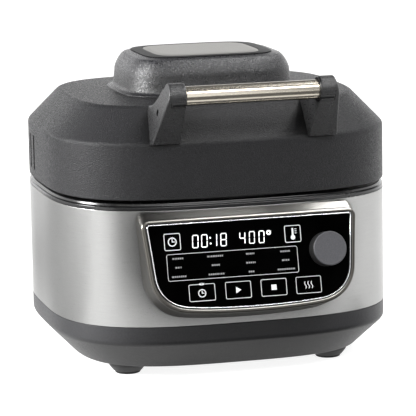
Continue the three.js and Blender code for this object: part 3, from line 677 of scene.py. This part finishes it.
# handle bar, sleeves and brackets
turned("grip_bar", [(9.4, -79, .6), (9.4, 79, .6), (8, 79, .3), (8, -79, .3)], "bar", "lid", ["handle_tube"], axis="x", at=(0, TUBE_Y, TUBE_Z), N=96)
for tag, s in (("left", -1), ("right", 1)):
    pr = [(12.5, 66.6, 1.6), (12.5, 81.7, 1.2), (0, 81.7, 0), (0, 79.3, 0), (9.6, 79.3, .2), (9.6, 66.6, .5)]
    P = [(12.5, 12.5, 2.0, 66.6, 0, 1.6), (12.5, 12.5, 2.0, 81.7, 0, 1.4), (0, 0, 2, 81.7, 0, 0)]
    Pin = [(0, 0, 2, 79.3, 0, 0), (9.6, 9.6, 2, 79.3, 0, .2), (9.6, 9.6, 2, 66.6, 0, .5)]
    t = np.arange(96) * 2 * np.pi / 96
    rs = []
    for p in profile(Pin + [P[0]] + P[1:], False, 5):
        r = p[0]
        rs.append(np.array([[s * p[3], TUBE_Y, TUBE_Z]]) if r < 1e-6 else
                  np.c_[np.full(96, s * p[3]), TUBE_Y + r * np.cos(t), TUBE_Z + r * np.sin(t)])
    v, f = skin(rs, False)
    new_mesh("grip_cap_" + tag, v, f, "black", "lid", ["handle_cap_" + tag])

    Rb = CAP_R + 0.4
    side = [(-120, 268), (-124, 274.2)]
    c0, c1, c2, c3 = np.array([-124, 274.2]), np.array([-139, 274.6]), np.array([-152, 284]), np.array([-166, 296.4])
    for i in range(1, 19):
        q = i / 18
        side.append(tuple((1 - q) ** 3 * c0 + 3 * (1 - q) ** 2 * q * c1 + 3 * (1 - q) * q * q * c2 + q ** 3 * c3))
    a0, a1 = math.atan2(296.4 - TUBE_Z, -166 - TUBE_Y), math.pi + 0.28
    for i in range(0, 29):
        a = a0 + (a1 - a0) * i / 28
        side.append((TUBE_Y + Rb * math.cos(a), TUBE_Z + Rb * math.sin(a)))
    last = np.array(side[-1])
    for i in range(1, 13):
        side.append(tuple(last + (np.array([-157.6, 240.0]) - last) * i / 12))
    side += [(-149, 238), (-140, 236)]
    for i in range(1, 9):
        side.append(tuple(np.array([-140, 236]) + (np.array([-120, 268]) - np.array([-140, 236])) * i / 9))
    hh = lambda z: np.clip((z - 239.6) / 50, -0.2, 1.2)
    v, f = extrude_x(side, 65, 94, 1.5, 5, xin=lambda z: 65 + 2 * hh(z), xout=lambda z: 94 - 9 * hh(z))
    v = np.asarray(v) * np.array([s, 1, 1])
    br = new_mesh("grip_bracket_" + tag, v, f, "bracket", "lid", ["handle_bracket_" + tag])
    core_rings = [ring(p, 288) for p in profile([(0, 0, 2, 275.2, 0, 0), Q(79, 63, 3.4, 274.9), R(32.1, 272.85), R(28.8, 271.3, 2.6), R(-0.35, 239.6, 3), R(-0.35, 180), (0, 0, 2, 180, 0, 0)], False, 5)]
    cv, cf = skin(core_rings, False)
    recut(br, [raw("core", cv, cf),
               rod_cutter("x", 12.6, *((60, 82) if s > 0 else (-82, -60)), (TUBE_Y, TUBE_Z), 96),
               rod_cutter("x", 3.4, *((82, 100) if s > 0 else (-100, -82)), (-160, 271.6), 48)], 32)
    t = np.arange(48) * 2 * np.pi / 48
    rs = []
    for p in profile([(0, 0, 2, 82.3, 0, 0), (3, 3, 2, 82.3, 0, 0), (3, 3, 2, 86.3, 0, .5), (1.3, 1.3, 2, 86.3, 0, .2), (1.3, 1.3, 2, 84.6, 0, 0), (0, 0, 2, 84.6, 0, 0)], False, 4):
        r = p[0]
        rs.append(np.array([[s * p[3], -160, 271.6]]) if r < 1e-6 else np.c_[np.full(48, s * p[3]), -160 + r * np.cos(t), 271.6 + r * np.sin(t)])
    v, f = skin(rs, False)
    new_mesh("grip_screw_" + tag, v, f, "dark", "lid", ["handle_screw_" + tag])

# inside of the lid
loft("liner_drum", [R(4, 186.2, .3), C(131.5, 186.2, 1.6), C(131.5, 238, 4), C(124, 246, 4), C(9, 246, .6), C(9, 247.2, .6), C(124.6, 247.2, 4), C(132.7, 238.5, 4),
                    C(132.7, 187.4, 1), R(4, 187.4, .3)], "inner_steel", "lid", ["lid_liner"], N=160)
turned("gasket_ring", [(148, 181.5, .4), (148, 185.8, .4), (142, 185.8, .4), (142, 183.4, 1), (144.5, 181.5, 1)], "rubber", "lid", ["lid_gasket"], N=144)
coil = [(92, 0, 245.4), (92, 0, 242), (92, 0, 236), (92.2, .5, 229), (92.3, 3, 224.4)]
for i in range(1, 121):
    a = 2 * math.pi * 1.75 * i / 120
    if a < 0.09:
        continue
    r = 92 - 34 * i / 120
    coil.append((r * math.cos(a), r * math.sin(a), 222))
lx, ly = coil[-1][0], coil[-1][1]
coil += [(lx + 4, ly, 222.1), (lx + 8, ly, 222.9), (lx + 11.5, ly, 224.8)]
v, f = tube_path(coil, 3.3, 16)
new_mesh("heater_coil", v, f, "sheath", "lid", ["top_heater"], angle=60)
guard = turned("guard_disc", [(0, 211, 0), (120, 211, .35), (120, 212.2, .35), (0, 212.2, 0)], "inner_steel", "lid", ["heater_guard"], closed=False, N=144)
gc = []
for k in range(8):
    a = 2 * math.pi * k / 8
    for r0, r1, w in ((22, 60, 7), (70, 110, 16)):
        n, cr, pts = 6, 3.3, []
        for cx, cy, q0 in ((r1 - cr, w / 2 - cr, 0), (r0 + cr, w / 2 - cr, 90), (r0 + cr, -w / 2 + cr, 180), (r1 - cr, -w / 2 + cr, 270)):
            for i in range(n + 1):
                q = math.radians(q0 + 90 * i / n)
                pts.append((cx + cr * math.cos(q), cy + cr * math.sin(q)))
        m = len(pts)
        vs = [(p[0] * math.cos(a) - p[1] * math.sin(a), p[0] * math.sin(a) + p[1] * math.cos(a), z) for z in (205, 218) for p in pts]
        fs = [tuple(range(m)), tuple(range(2 * m - 1, m - 1, -1))] + [(i, (i + 1) % m, m + (i + 1) % m, m + i) for i in range(m)]
        gc.append(raw("g", vs, fs))
recut(guard, gc)
for i, a in enumerate((70, 190, 310)):
    turned("guard_post_%d" % (i + 1), [(0, 211.5, 0), (2.5, 211.5, 0), (2.5, 245.7, .3), (0, 245.7, 0)], "inner_steel", "lid", [], closed=False,
           at=(114 * math.cos(math.radians(a)), 114 * math.sin(math.radians(a)), 0), N=32)
# convection fan
fan = [skin([ring(p, 96) for p in profile([C(4.2, 232, .4), C(12, 232, .8), C(12, 243, .8), C(68, 243, .4), C(68, 244, .4), C(4.2, 244, .3)], True, 4)], True)]
for k in range(8):
    a = 2 * math.pi * k / 8
    sec = []
    cols = 9
    bv = []
    for i in range(cols):
        r = 13 + 54 * i / (cols - 1)
        bend = 0.0
        top = 243.4
        low = 231.5 + (0.8 if i in (0, cols - 1) else 0)
        bv.append(np.array([[r, -0.7 + bend, top], [r, -0.7 + bend, low + .3], [r, -0.35 + bend, low], [r, 0.35 + bend, low], [r, 0.7 + bend, low + .3], [r, 0.7 + bend, top]]))
    v, f = skin(bv, False)
    n = 6
    f = list(f) + [tuple(range(n)), tuple(range(len(v) - 1, len(v) - 1 - n, -1))]
    rot = np.array([[math.cos(a), math.sin(a), 0], [-math.sin(a), math.cos(a), 0], [0, 0, 1]])
    fan.append((v @ rot, f))
v, f = join_parts(fan)
new_mesh("fan_wheel", v, f, "inner_steel", "fan", ["convection_fan"])
turned("fan_shaft", [(0, 226, 0), (4, 226, .8), (4, 298, .4), (0, 298, 0)], "inner_steel", "fan", ["motor_shaft"], closed=False, N=48)

# ------------------------------------------------------------------ rear hinge
def arc(r, a0, a1, k):
    return [(PIN_Y + r * math.cos(math.radians(a0 + (a1 - a0) * i / k)), PIN_Z + r * math.sin(math.radians(a0 + (a1 - a0) * i / k))) for i in range(k + 1)]


def plate_y(x0, x1, y0, y1, z0, z1, r=3.0, e=0.5):
    """a plate standing across Y with rounded corners and rims"""
    pts = []
    for cx, cz, q0 in ((x1 - r, z1 - r, 0), (x0 + r, z1 - r, 90), (x0 + r, z0 + r, 180), (x1 - r, z0 + r, 270)):
        for i in range(7):
            q = math.radians(q0 + 90 * i / 6)
            pts.append((cx, cz, r, q))
    rs = []
    for y, o in ((y0, e), (y0 + e * .3, e * .3), (y0 + e, 0), (y1 - e, 0), (y1 - e * .3, e * .3), (y1, e)):
        rs.append(np.array([[cx + (rr - o) * math.cos(q), y, cz + (rr - o) * math.sin(q)] for cx, cz, rr, q in pts]))
    v, f = skin(rs, False)
    n = len(pts)
    return v, list(f) + [tuple(range(n)), tuple(range(len(v) - 1, len(v) - 1 - n, -1))]


for tag, s in (("left", -1), ("right", 1)):
    x = 62 * s
    ear = [(157.2, 144), (158.6, 141), (160.5, 140), (162.4, 140.2), (163.5, 141)] + arc(8, -32, 172, 32) + [(158.4, 172), (157.2, 170)]
    knuckle = arc(7.2, -170, 24, 30) + [(170.6, 196), (168, 203), (164, 212), (162.6, 218), (161.5, 222), (157.3, 222), (157.3, 192)]
    v, f = join_parts([plate_y(x - 17, x + 17, 157.2, 160.4, 140, 171), extrude_x(ear, x - 18, x - 10.2, .7), extrude_x(ear, x + 10.2, x + 18, .7)])
    new_mesh("hinge_ear_" + tag, v, f, "base", "root", ["hinge_mount_" + tag], angle=45)
    v, f = join_parts([plate_y(x - 17, x + 17, 157.2, 160.6, 193, 227), extrude_x(knuckle, x - 9.8, x + 9.8, .9)])
    new_mesh("hinge_leaf_" + tag, v, f, "lid", "lid", ["hinge_arm_" + tag], angle=45)
    turned("hinge_rod_" + tag, [(0, x - 18.4, 0), (3, x - 18.4, .6), (3, x + 18.4, .6), (0, x + 18.4, 0)], "inner_steel", "root", ["hinge_pin_" + tag],
           closed=False, axis="x", at=(0, PIN_Y, PIN_Z), N=40)

g = []
for pr in ([(3.7, 155.2, 0), (9.5, 155.2, 0), (9.5, 158.6, .8), (7.6, 160.4, .8), (3.7, 160.4, .5)], [(3.7, 145, .2), (6.4, 145, .2), (6.4, 155.9, 0), (3.7, 155.9, 0)]):
    t = np.arange(56) * 2 * np.pi / 56
    rs = [np.c_[-70 + p[0] * np.cos(t), np.full(56, p[3]), 49.4 + p[0] * np.sin(t)] for p in profile([(a, a, 2, b, 0, c) for a, b, c in pr], True, 4)]
    g.append(skin(rs, True))
v, f = join_parts(g)
new_mesh("cord_bush", v, f, "dark", "root", ["cord_gland"])

# ------------------------------------------------------------------ control panel
bez = lambda a, b, c, d, q: (1 - q) ** 3 * np.array(a) + 3 * (1 - q) ** 2 * q * np.array(b) + 3 * (1 - q) * q * q * np.array(c) + q ** 3 * np.array(d)
half = [(x, v) for x, v in ((0, -42.4), (10, -42.35), (20, -42.2), (30, -41.9), (40, -41.5), (48, -41.05), (56, -40.5), (61, -40.0), (66, -39.4))]
for i in range(1, 29):
    half.append(tuple(bez((66, -39.4), (84, -38), (97.6, -26), (98.9, -8), i / 28)))
half += [(99.8, 1), (100.6, 10), (101.5, 19), (102.4, 28), (103.0, 34), (103.45, 38.6)]
for i in range(0, 9):
    q = i / 8 * math.pi / 2
    half.append((100.6 + 3.0 * math.cos(q) * 1.0, 39.8 + 3.0 * math.sin(q)))
half += [(90, 42.8), (75, 42.8), (50, 42.8), (25, 42.8), (0, 42.8)]
line = np.array(half + [(-x, y) for x, y in half[1:-1][::-1]])
NP = len(line)
nx, pv = np.roll(line, -1, 0), np.roll(line, 1, 0)
tg = nx - pv
tg /= np.linalg.norm(tg, axis=1, keepdims=True)
out = np.c_[tg[:, 1], -tg[:, 0]]


def wall_ring(d, n):
    q = line + d * out
    return np.array([panel_pt(x, v, n) for x, v in q])


def back_ring(d, y):
    q = wall_ring(d, -1.5)
    z = 64.5 + (q[:, 2] - 75.2) * (109.0 / 93.5)
    return np.c_[q[:, 0], np.full(NP, y), z]


def soften(pts, closed=True, k=4):
    P = profile([(a, 1, 2, b, 0, c) for a, b, c in pts], closed, k)
    return [(p[0], p[3]) for p in P]


sec = soften([(-6, -2.5, .2), (1.3, -2.5, .2), (1.3, 0.2, .35), (2.4, 0.6, .5), (4.2, 0.1, .8), (5.4, -1.6, .6), (5.4, -3, 0)], False, 4)
rs = [wall_ring(d, n) for d, n in sec[:-1]]
front = rs[-1]
far = back_ring(5.4, -157)
for i in range(1, 9):
    q = i / 8
    rs.append(front * (1 - q) + far * q)
rs += [back_ring(5.4, -138), back_ring(2.2, -138), wall_ring(2.2, -5.2), wall_ring(-6, -5.2)]
v, f = skin(rs, True)
bezel = new_mesh("bezel_frame", v, f, "bezel", "root", ["panel_bezel"])
cv, cf = skin([ring(p, 288) for p in [(0, 0, 2, 200, 0), R(-0.3, 200)[:5], R(-0.3, 40)[:5], (0, 0, 2, 40, 0)]], False)
recut(bezel, [raw("core", cv, cf), box_cutter(-220, 220, -250, -90, 173.9, 230)], 30)

# a matte black ring filling the groove between the chrome trim and the bezel: painted shade for the dark of the deep
# groove
groove_painted_shade = soften([(-1.22, -2.4, 0), (-1.22, -0.7, .1), (1.28, -0.7, .1), (1.28, -2.4, 0)], True, 2)
v, f = skin([wall_ring(d, n) for d, n in groove_painted_shade], True)
new_mesh("trim_groove_painted_shade", v, f, "rubber", "root", [])
tr = soften([(-1, -2.2, 0), (-1, 0.6, .4), (-0.4, 1.15, .4), (0.25, 0.6, .4), (0.25, -2.2, 0)], True, 4)
v, f = skin([wall_ring(d, n) for d, n in tr], True)
new_mesh("trim_line", v, f, "chrome", "root", ["panel_trim"])

gl = soften([(-1.25, 0, .25), (-1.25, -2.2, 0)], False)
c0 = np.array([panel_pt(0, 0, 0)])
inner = [line * k for k in (0.35, 0.7)]
rs = [c0] + [np.array([panel_pt(x, v, 0) for x, v in q]) for q in inner] + [wall_ring(-1.7, 0), wall_ring(-1.38, -.08), wall_ring(-1.25, -.4), wall_ring(-1.25, -2.2)]
rs += [np.array([panel_pt(0, 0, -2.2)])]
v, f = skin(rs, False)
new_mesh("glass_pane", v, f, "glass", "root", ["panel_glass"])


def prism(poly, n0=-0.02, n1=0.07):
    m = len(poly)
    vs = [panel_pt(x, v, n0) for x, v in poly] + [panel_pt(x, v, n1) for x, v in poly]
    fs = [tuple(range(m)), tuple(range(2 * m - 1, m - 1, -1))] + [(i, (i + 1) % m, m + (i + 1) % m, m + i) for i in range(m)]
    return np.array(vs), fs


def frame_line(x0, x1, v0, v1, r=1.8, w=0.6, slant=0.0):
    """a rounded rectangle drawn as a closed line"""
    def loop(o):
        pts = []
        for cx, cy, q0 in ((x1 - r, v1 - r, 0), (x0 + r, v1 - r, 90), (x0 + r, v0 + r, 180), (x1 - r, v0 + r, 270)):
            for i in range(6):
                q = math.radians(q0 + 90 * i / 5)
                pts.append((cx + (r - o) * math.cos(q), cy + (r - o) * math.sin(q)))
        return pts
    a, b = loop(0), loop(w)
    rs = [np.array([panel_pt(x, v, n) for x, v in q]) for q, n in ((a, -.02), (a, .07), (b, .07), (b, -.02))]
    return skin(rs, True)


def dashes(x, v, widths, h=1.7, gap=0.75):
    """a short row of blocks standing in for a word"""
    tot = sum(widths) + gap * (len(widths) - 1)
    q, out_ = x - tot / 2, []
    for w in widths:
        out_.append(prism([(q, v - h / 2), (q + w, v - h / 2), (q + w, v + h / 2), (q, v + h / 2)]))
        q += w + gap
    return out_


SEG7 = {"0": "abcdef", "1": "bc", "4": "bcfg", "8": "abcdefg"}


def digit(x0, x1, v0, v1, ch, w=1.5, lean=0.06):
    vm = (v0 + v1) / 2
    g_, out_ = 0.28, []
    sk = lambda p: (p[0] + (p[1] - vm) * lean, p[1])
    h = w / 2
    bars = {"a": ("h", v1 - h), "g": ("h", vm), "d": ("h", v0 + h), "f": ("v", x0 + h, vm, v1 - h), "b": ("v", x1 - h, vm, v1 - h),
            "e": ("v", x0 + h, v0 + h, vm), "c": ("v", x1 - h, v0 + h, vm)}
    for s_ in SEG7[ch]:
        b = bars[s_]
        if b[0] == "h":
            y, a, c = b[1], x0 + h + g_, x1 - h - g_
            poly = [(a, y), (a + h, y - h), (c - h, y - h), (c, y), (c - h, y + h), (a + h, y + h)]
        else:
            xx, a, c = b[1], b[2] + g_, b[3] - g_
            poly = [(xx, a), (xx + h, a + h), (xx + h, c - h), (xx, c), (xx - h, c - h), (xx - h, a + h)]
        out_.append(prism([sk(p) for p in poly]))
    return out_


digs = digit(-59.3, -53.2, 18, 30.6, "0", 0.68) + digit(-50.2, -44.1, 18, 30.6, "0", 0.68) + digit(-40.3, -34.4, 18, 30.6, "1", 0.68) + digit(-30.9, -24.8, 18, 30.6, "8", 0.68)
for v_ in (21.4, 27.0):
    digs += [prism([(-41.1 + .75 * math.cos(q), v_ + .75 * math.sin(q)) for q in np.arange(12) * math.pi / 6])]
digs += digit(-11.7, -5.9, 18.5, 30.5, "4", 0.64) + digit(-2.0, 3.7, 18.5, 30.5, "0", 0.64) + digit(7.8, 13.5, 18.5, 30.5, "0", 0.64)
q = np.arange(24) * 2 * math.pi / 24
ringp = [np.array([panel_pt(18.2 + r * math.cos(a), 28.2 + r * math.sin(a), n) for a in q]) for r, n in ((2.3, -.02), (2.3, .07), (1.2, .07), (1.2, -.02))]
digs.append(skin(ringp, True))
v, f = join_parts(digs)
new_mesh("display_digits", v, f, "digit", "root", [], angle=20, wn=False)

ink = [frame_line(-87.5, -71, 17, 33.6), frame_line(34.2, 50.8, 17, 33.7), frame_line(-86.2, 45.9, -12.6, 13.4, 2.0, .34)]
for a, b in ((-66.5, -40.2), (-29.8, -3.9), (6.1, 32.2), (41.8, 67.6)):
    ink.append(frame_line(a, b, -33.8, -17.2, 1.6, .46))
# clock and thermometer pictograms
ck = [np.array([panel_pt(-79.3 + r * math.cos(a), 25.3 + r * math.sin(a), n) for a in q]) for r, n in ((4.4, -.02), (4.4, .07), (3.5, .07), (3.5, -.02))]
ink.append(skin(ck, True))
ink.append(prism([(-79.7, 25), (-78.9, 25), (-78.9, 28.2), (-79.7, 28.2)]))
ink.append(prism([(-79.7, 24.9), (-76.8, 24.9), (-76.8, 25.7), (-79.7, 25.7)]))
th = [(41.6, 30.2), (41.6, 23.9)] + [(42.5 + 2.3 * math.cos(a), 21.9 + 2.3 * math.sin(a)) for a in np.linspace(math.radians(115), math.radians(425), 16)] + [(43.4, 23.9), (43.4, 30.2)] \
    + [(42.5 + .9 * math.cos(a), 30.2 + .9 * math.sin(a)) for a in np.linspace(0, math.pi, 7)]
ink.append(prism(th))
for v_ in (26, 28, 30):
    ink.append(prism([(44.6, v_ - .3), (46.6, v_ - .3), (46.6, v_ + .3), (44.6, v_ + .3)]))
# start triangle, stop square, delay ring and keep-warm waves
ink.append(prism([(-19.2, -22.4), (-19.2, -28.6), (-13.9, -25.5)]))
ink.append(prism([(16.6, -28), (21.8, -28), (21.8, -22.9), (16.6, -22.9)]))
cx, cv_ = -53.4, -26.2
ink.append(skin([np.array([panel_pt(cx + r * math.cos(a), cv_ + r * math.sin(a), n) for a in q]) for r, n in ((4.0, -.02), (4.0, .07), (3.2, .07), (3.2, -.02))], True))
ink.append(prism([(cx - .35, cv_ - .3), (cx + .35, cv_ - .3), (cx + .35, cv_ + 2.7), (cx - .35, cv_ + 2.7)]))
ink.append(prism([(cx - .35, cv_ - .35), (cx + 2.3, cv_ - .35), (cx + 2.3, cv_ + .35), (cx - .35, cv_ + .35)]))
for k in range(3):
    xs = 51.3 + 3.3 * k
    L_ = [(xs + .75 * math.sin(t_ * 2 * math.pi), -29 + 7 * t_) for t_ in np.linspace(0, 1, 13)]
    ink.append(prism([(a - .38, b) for a, b in L_] + [(a + .38, b) for a, b in L_[::-1]]))
# indicator over the first button
ink.append(skin([np.array([panel_pt(-53.5 + 2.6 * r * math.cos(a), -17.3 + 1.1 * r * math.sin(a), n) for a in q]) for r, n in ((1, -.02), (1, .09), (.62, .09), (.62, -.02))], True))
# mode labels: four columns of three
rows = [(9.5, 0.4, -9.0)] * 4
WORDS = [[(1.9, .9, 1, 1.6, 1.3, 1.6), (1.8, 1.2, .8, .8), (2, 1.7, 1.6, 1.5, 1.7, 1.2, 1.6)],
         [(1.8, .8, 1.6, 2, 1.7, 1.6, 1.6, 1.3), (1.9, 1.6, 1.5, 1.6), (1.7, 1.6, 1.7, 1.5, 1.8, .8, 1.6, 1.6)],
         [(1.9, 1.2, 1.6, .8, .9), (1.9, 1.6, 1.6, 1.4, 1.0), (1.7, 1.2, 1.7)],
         [(1.7, 1.6, 1.6, 1.2, 1.6), (1.9, .8, 1.5, 1.6), (1.9, 1.6, 1.6, 1.8, 2.3, 1.6, 1.3, 2.2)]]
words_ = []
for cx_, words in zip((-75, -37.6, -2.2, 33.2), WORDS):
    for v_, w_ in zip((8.9, 0.2, -8.6), words):
        words_ += dashes(cx_, v_, [k * .92 for k in w_], 1.55, .62)
v, f = join_parts(words_)
new_mesh("panel_labels", v, f, "faint", "root", [], angle=20, wn=False)
v, f = join_parts(ink)
new_mesh("panel_marks", v, f, "ink", "root", [], angle=20, wn=False)

# dial
NKN = 240
t = np.arange(NKN) * 2 * np.pi / NKN
prof = profile([(0, 0, 2, 13.6, 0, 0), (3.3, 3.3, 2, 13.6, 0, 0), (3.3, 3.3, 2, 0.6, 0, .3), (16.5, 16.5, 2, 0.6, 0, .3), (17.05, 17.05, 2, 1.6, 0, .4), (16.95, 16.95, 2, 16, 0, .9),
                (16.05, 16.05, 2, 17, 0, .5), (14.6, 14.6, 2, 16.8, 0, .4), (0, 0, 2, 16.8, 0, 0)], False, 5)
rs = []
for p in prof:
    if p[0] < 1e-6:
        rs.append(np.array([panel_pt(KX, KV, p[3])]))
        continue
    r = np.full(NKN, p[0])
    if p[0] > 16.4 and 2.2 < p[3] < 15.4:
        r = p[0] - 0.22 * (0.5 + 0.5 * np.cos(60 * t))
    rs.append(np.array([panel_pt(KX + a * math.cos(b), KV + a * math.sin(b), p[3]) for a, b in zip(r, t)]))
v, f = skin(rs, False)
cap = new_mesh("dial_cap", v, f, ["knob", "knob_side"], "knob", ["dial_knob"], angle=40)
face_n = Vector((0, -CT, ST))
for pl in cap.data.polygons:
    pl.material_index = 0 if pl.normal.dot(face_n) > 0.55 else 1

# ------------------------------------------------------------------ stage
bpy.ops.mesh.primitive_plane_add(size=40, location=(0, 0, -0.0003))
floor = bpy.context.object
floor.name = "floor"
fm = Mat("floor_white", 0.85, Specular_IOR_Level=0.1, Emission_Strength=0.87)
fm.bsdf.inputs["Emission Color"].default_value = (1, 1, 1, 1)
fm.color(fm.ramp(fm.noise(2.5, 3.0, 0.5), [(0.3, (0.42, 0.42, 0.42, 1)), (0.7, (0.44, 0.44, 0.44, 1))]))
floor.data.materials.append(fm.m)

scene = bpy.context.scene
world = bpy.data.worlds.new("studio")
world.use_nodes = True
wn = world.node_tree
bg = wn.nodes["Background"]
tcw = wn.nodes.new("ShaderNodeTexCoord")
sep = wn.nodes.new("ShaderNodeSeparateXYZ")
wn.links.new(tcw.outputs["Generated"], sep.inputs[0])
rng = wn.nodes.new("ShaderNodeMapRange")              # dim studio in front, paler behind
rng.interpolation_type = "SMOOTHSTEP"
rng.inputs["From Min"].default_value, rng.inputs["From Max"].default_value = -0.7, 0.25
rng.inputs["To Min"].default_value, rng.inputs["To Max"].default_value = 0.05, 1.8
wn.links.new(sep.outputs["Y"], rng.inputs["Value"])
side = wn.nodes.new("ShaderNodeMapRange")             # and dimmer to the left
side.inputs["From Min"].default_value, side.inputs["From Max"].default_value = -0.9, -0.25
side.inputs["To Min"].default_value, side.inputs["To Max"].default_value = 0.7, 1.0
wn.links.new(sep.outputs["X"], side.inputs["Value"])
mul = wn.nodes.new("ShaderNodeMath")
mul.operation = "MULTIPLY"
wn.links.new(rng.outputs["Result"], mul.inputs[0])
wn.links.new(side.outputs["Result"], mul.inputs[1])
high = wn.nodes.new("ShaderNodeMapRange")             # the pale backing is low, the ceiling dark
high.interpolation_type = "SMOOTHSTEP"
high.inputs["From Min"].default_value, high.inputs["From Max"].default_value = 0.18, 0.5
high.inputs["To Min"].default_value, high.inputs["To Max"].default_value = 1.0, 0.14
wn.links.new(sep.outputs["Z"], high.inputs["Value"])
mul2 = wn.nodes.new("ShaderNodeMath")
mul2.operation = "MULTIPLY"
wn.links.new(mul.outputs[0], mul2.inputs[0])
wn.links.new(high.outputs["Result"], mul2.inputs[1])
wn.links.new(mul2.outputs[0], bg.inputs["Strength"])
bg.inputs["Color"].default_value = (1, 1, 1, 1)
scene.world = world


def softbox(name, at, to, w, h, power, col=(1, 1, 1)):
    l = bpy.data.lights.new(name, "AREA")
    l.shape, l.size, l.size_y, l.energy, l.color = "RECTANGLE", w, h, power, col
    ob = bpy.data.objects.new(name, l)
    ob.location = at
    ob.rotation_euler = (Vector(to) - Vector(at)).to_track_quat("-Z", "Y").to_euler()
    scene.collection.objects.link(ob)
    ob.visible_camera = False
    return ob


softbox("key", (-2.3, 0.1, 1.0), (0, 0, 0.22), 0.9, 0.8, 150)
softbox("top", (1.1, -0.1, 1.95), (0, 0, 0.2), 1.2, 0.8, 34)
softbox("high", (0.5, -1.55, 1.72), (0, -0.1, 0.25), 1.5, 0.42, 34)
softbox("front", (-0.3, -2.2, 1.05), (-0.1, 0, 0.95), 2.0, 1.9, 24)
softbox("right", (2.3, -0.7, 0.75), (0, 0, 0.14), 1.0, 1.2, 3)


def flag(name, at, to, w, h, val=0.02):
    """a dark card outside the frame, so the steel has something to reflect"""
    bpy.ops.mesh.primitive_plane_add(size=1, location=at)
    ob = bpy.context.object
    ob.name = name
    ob.scale = (w, h, 1)
    ob.rotation_euler = (Vector(to) - Vector(at)).to_track_quat("Z", "Y").to_euler()
    m = Mat(name + "_card", 0.9)
    m.color(m.ramp(m.noise(3.0), [(0.3, (val, val, val * 0.95, 1)), (0.7, (val * 1.3, val * 1.3, val * 1.2, 1))]))
    ob.data.materials.append(m.m)
    ob.visible_camera = False
    ob.visible_shadow = False
    return ob


flag("card_left", (-1.35, -1.75, 0.75), (0, 0, 0.12), 1.0, 1.5, 0.42)


def floor_card(name, pts, z=0.0012, val=0.06):
    me = bpy.data.meshes.new(name)
    me.from_pydata([(x, y, z) for x, y in pts], [], [tuple(range(len(pts)))])
    ob = bpy.data.objects.new(name, me)
    scene.collection.objects.link(ob)
    m = Mat(name + "_card", 0.9)
    m.color(m.ramp(m.noise(3.0), [(0.3, (val, val, val, 1)), (0.7, (val * 1.2, val * 1.2, val * 1.2, 1))]))
    me.materials.append(m.m)
    ob.visible_camera = False
    ob.visible_shadow = False


floor_card("card_floor_left", [(-0.24, -0.02), (-0.24, 0.6), (-1.2, 2.6), (-2.8, 2.2), (-2.4, -0.5)], 0.0012, 0.25)
floor_card("card_floor_near", [(-0.2, -0.17), (0.3, -0.12), (0.42, -0.24), (0.2, -0.29), (-0.2, -0.29)])
floor_card("card_floor", [(-0.2, -0.41), (0.28, -0.41), (0.95, -1.5), (0.75, -2.6), (-2.3, -1.9), (-0.55, -0.45)])

# camera
cam_d = bpy.data.cameras.new("camera")
cam_d.lens, cam_d.sensor_width, cam_d.clip_end = 227.15, 36.0, 100
cam = bpy.data.objects.new("camera", cam_d)
scene.collection.objects.link(cam)
back = Vector((-0.25729, -0.95024, 0.17561))
right = Vector((0.96524, -0.26135, 0.0))
up = Vector((0.04590, 0.16951, 0.98445))
c_, s_ = math.cos(-0.01793), math.sin(-0.01793)
X_, Y_ = right * c_ + up * s_, right * -s_ + up * c_
M = Matrix((X_, Y_, back)).transposed().to_4x4()
M.translation = Vector((-0.69665, -2.58665 + BY / 1000, 0.62397))
cam.matrix_world = M
scene.camera = cam
scene.view_settings.view_transform = "Standard"
scene.view_settings.look = "None"
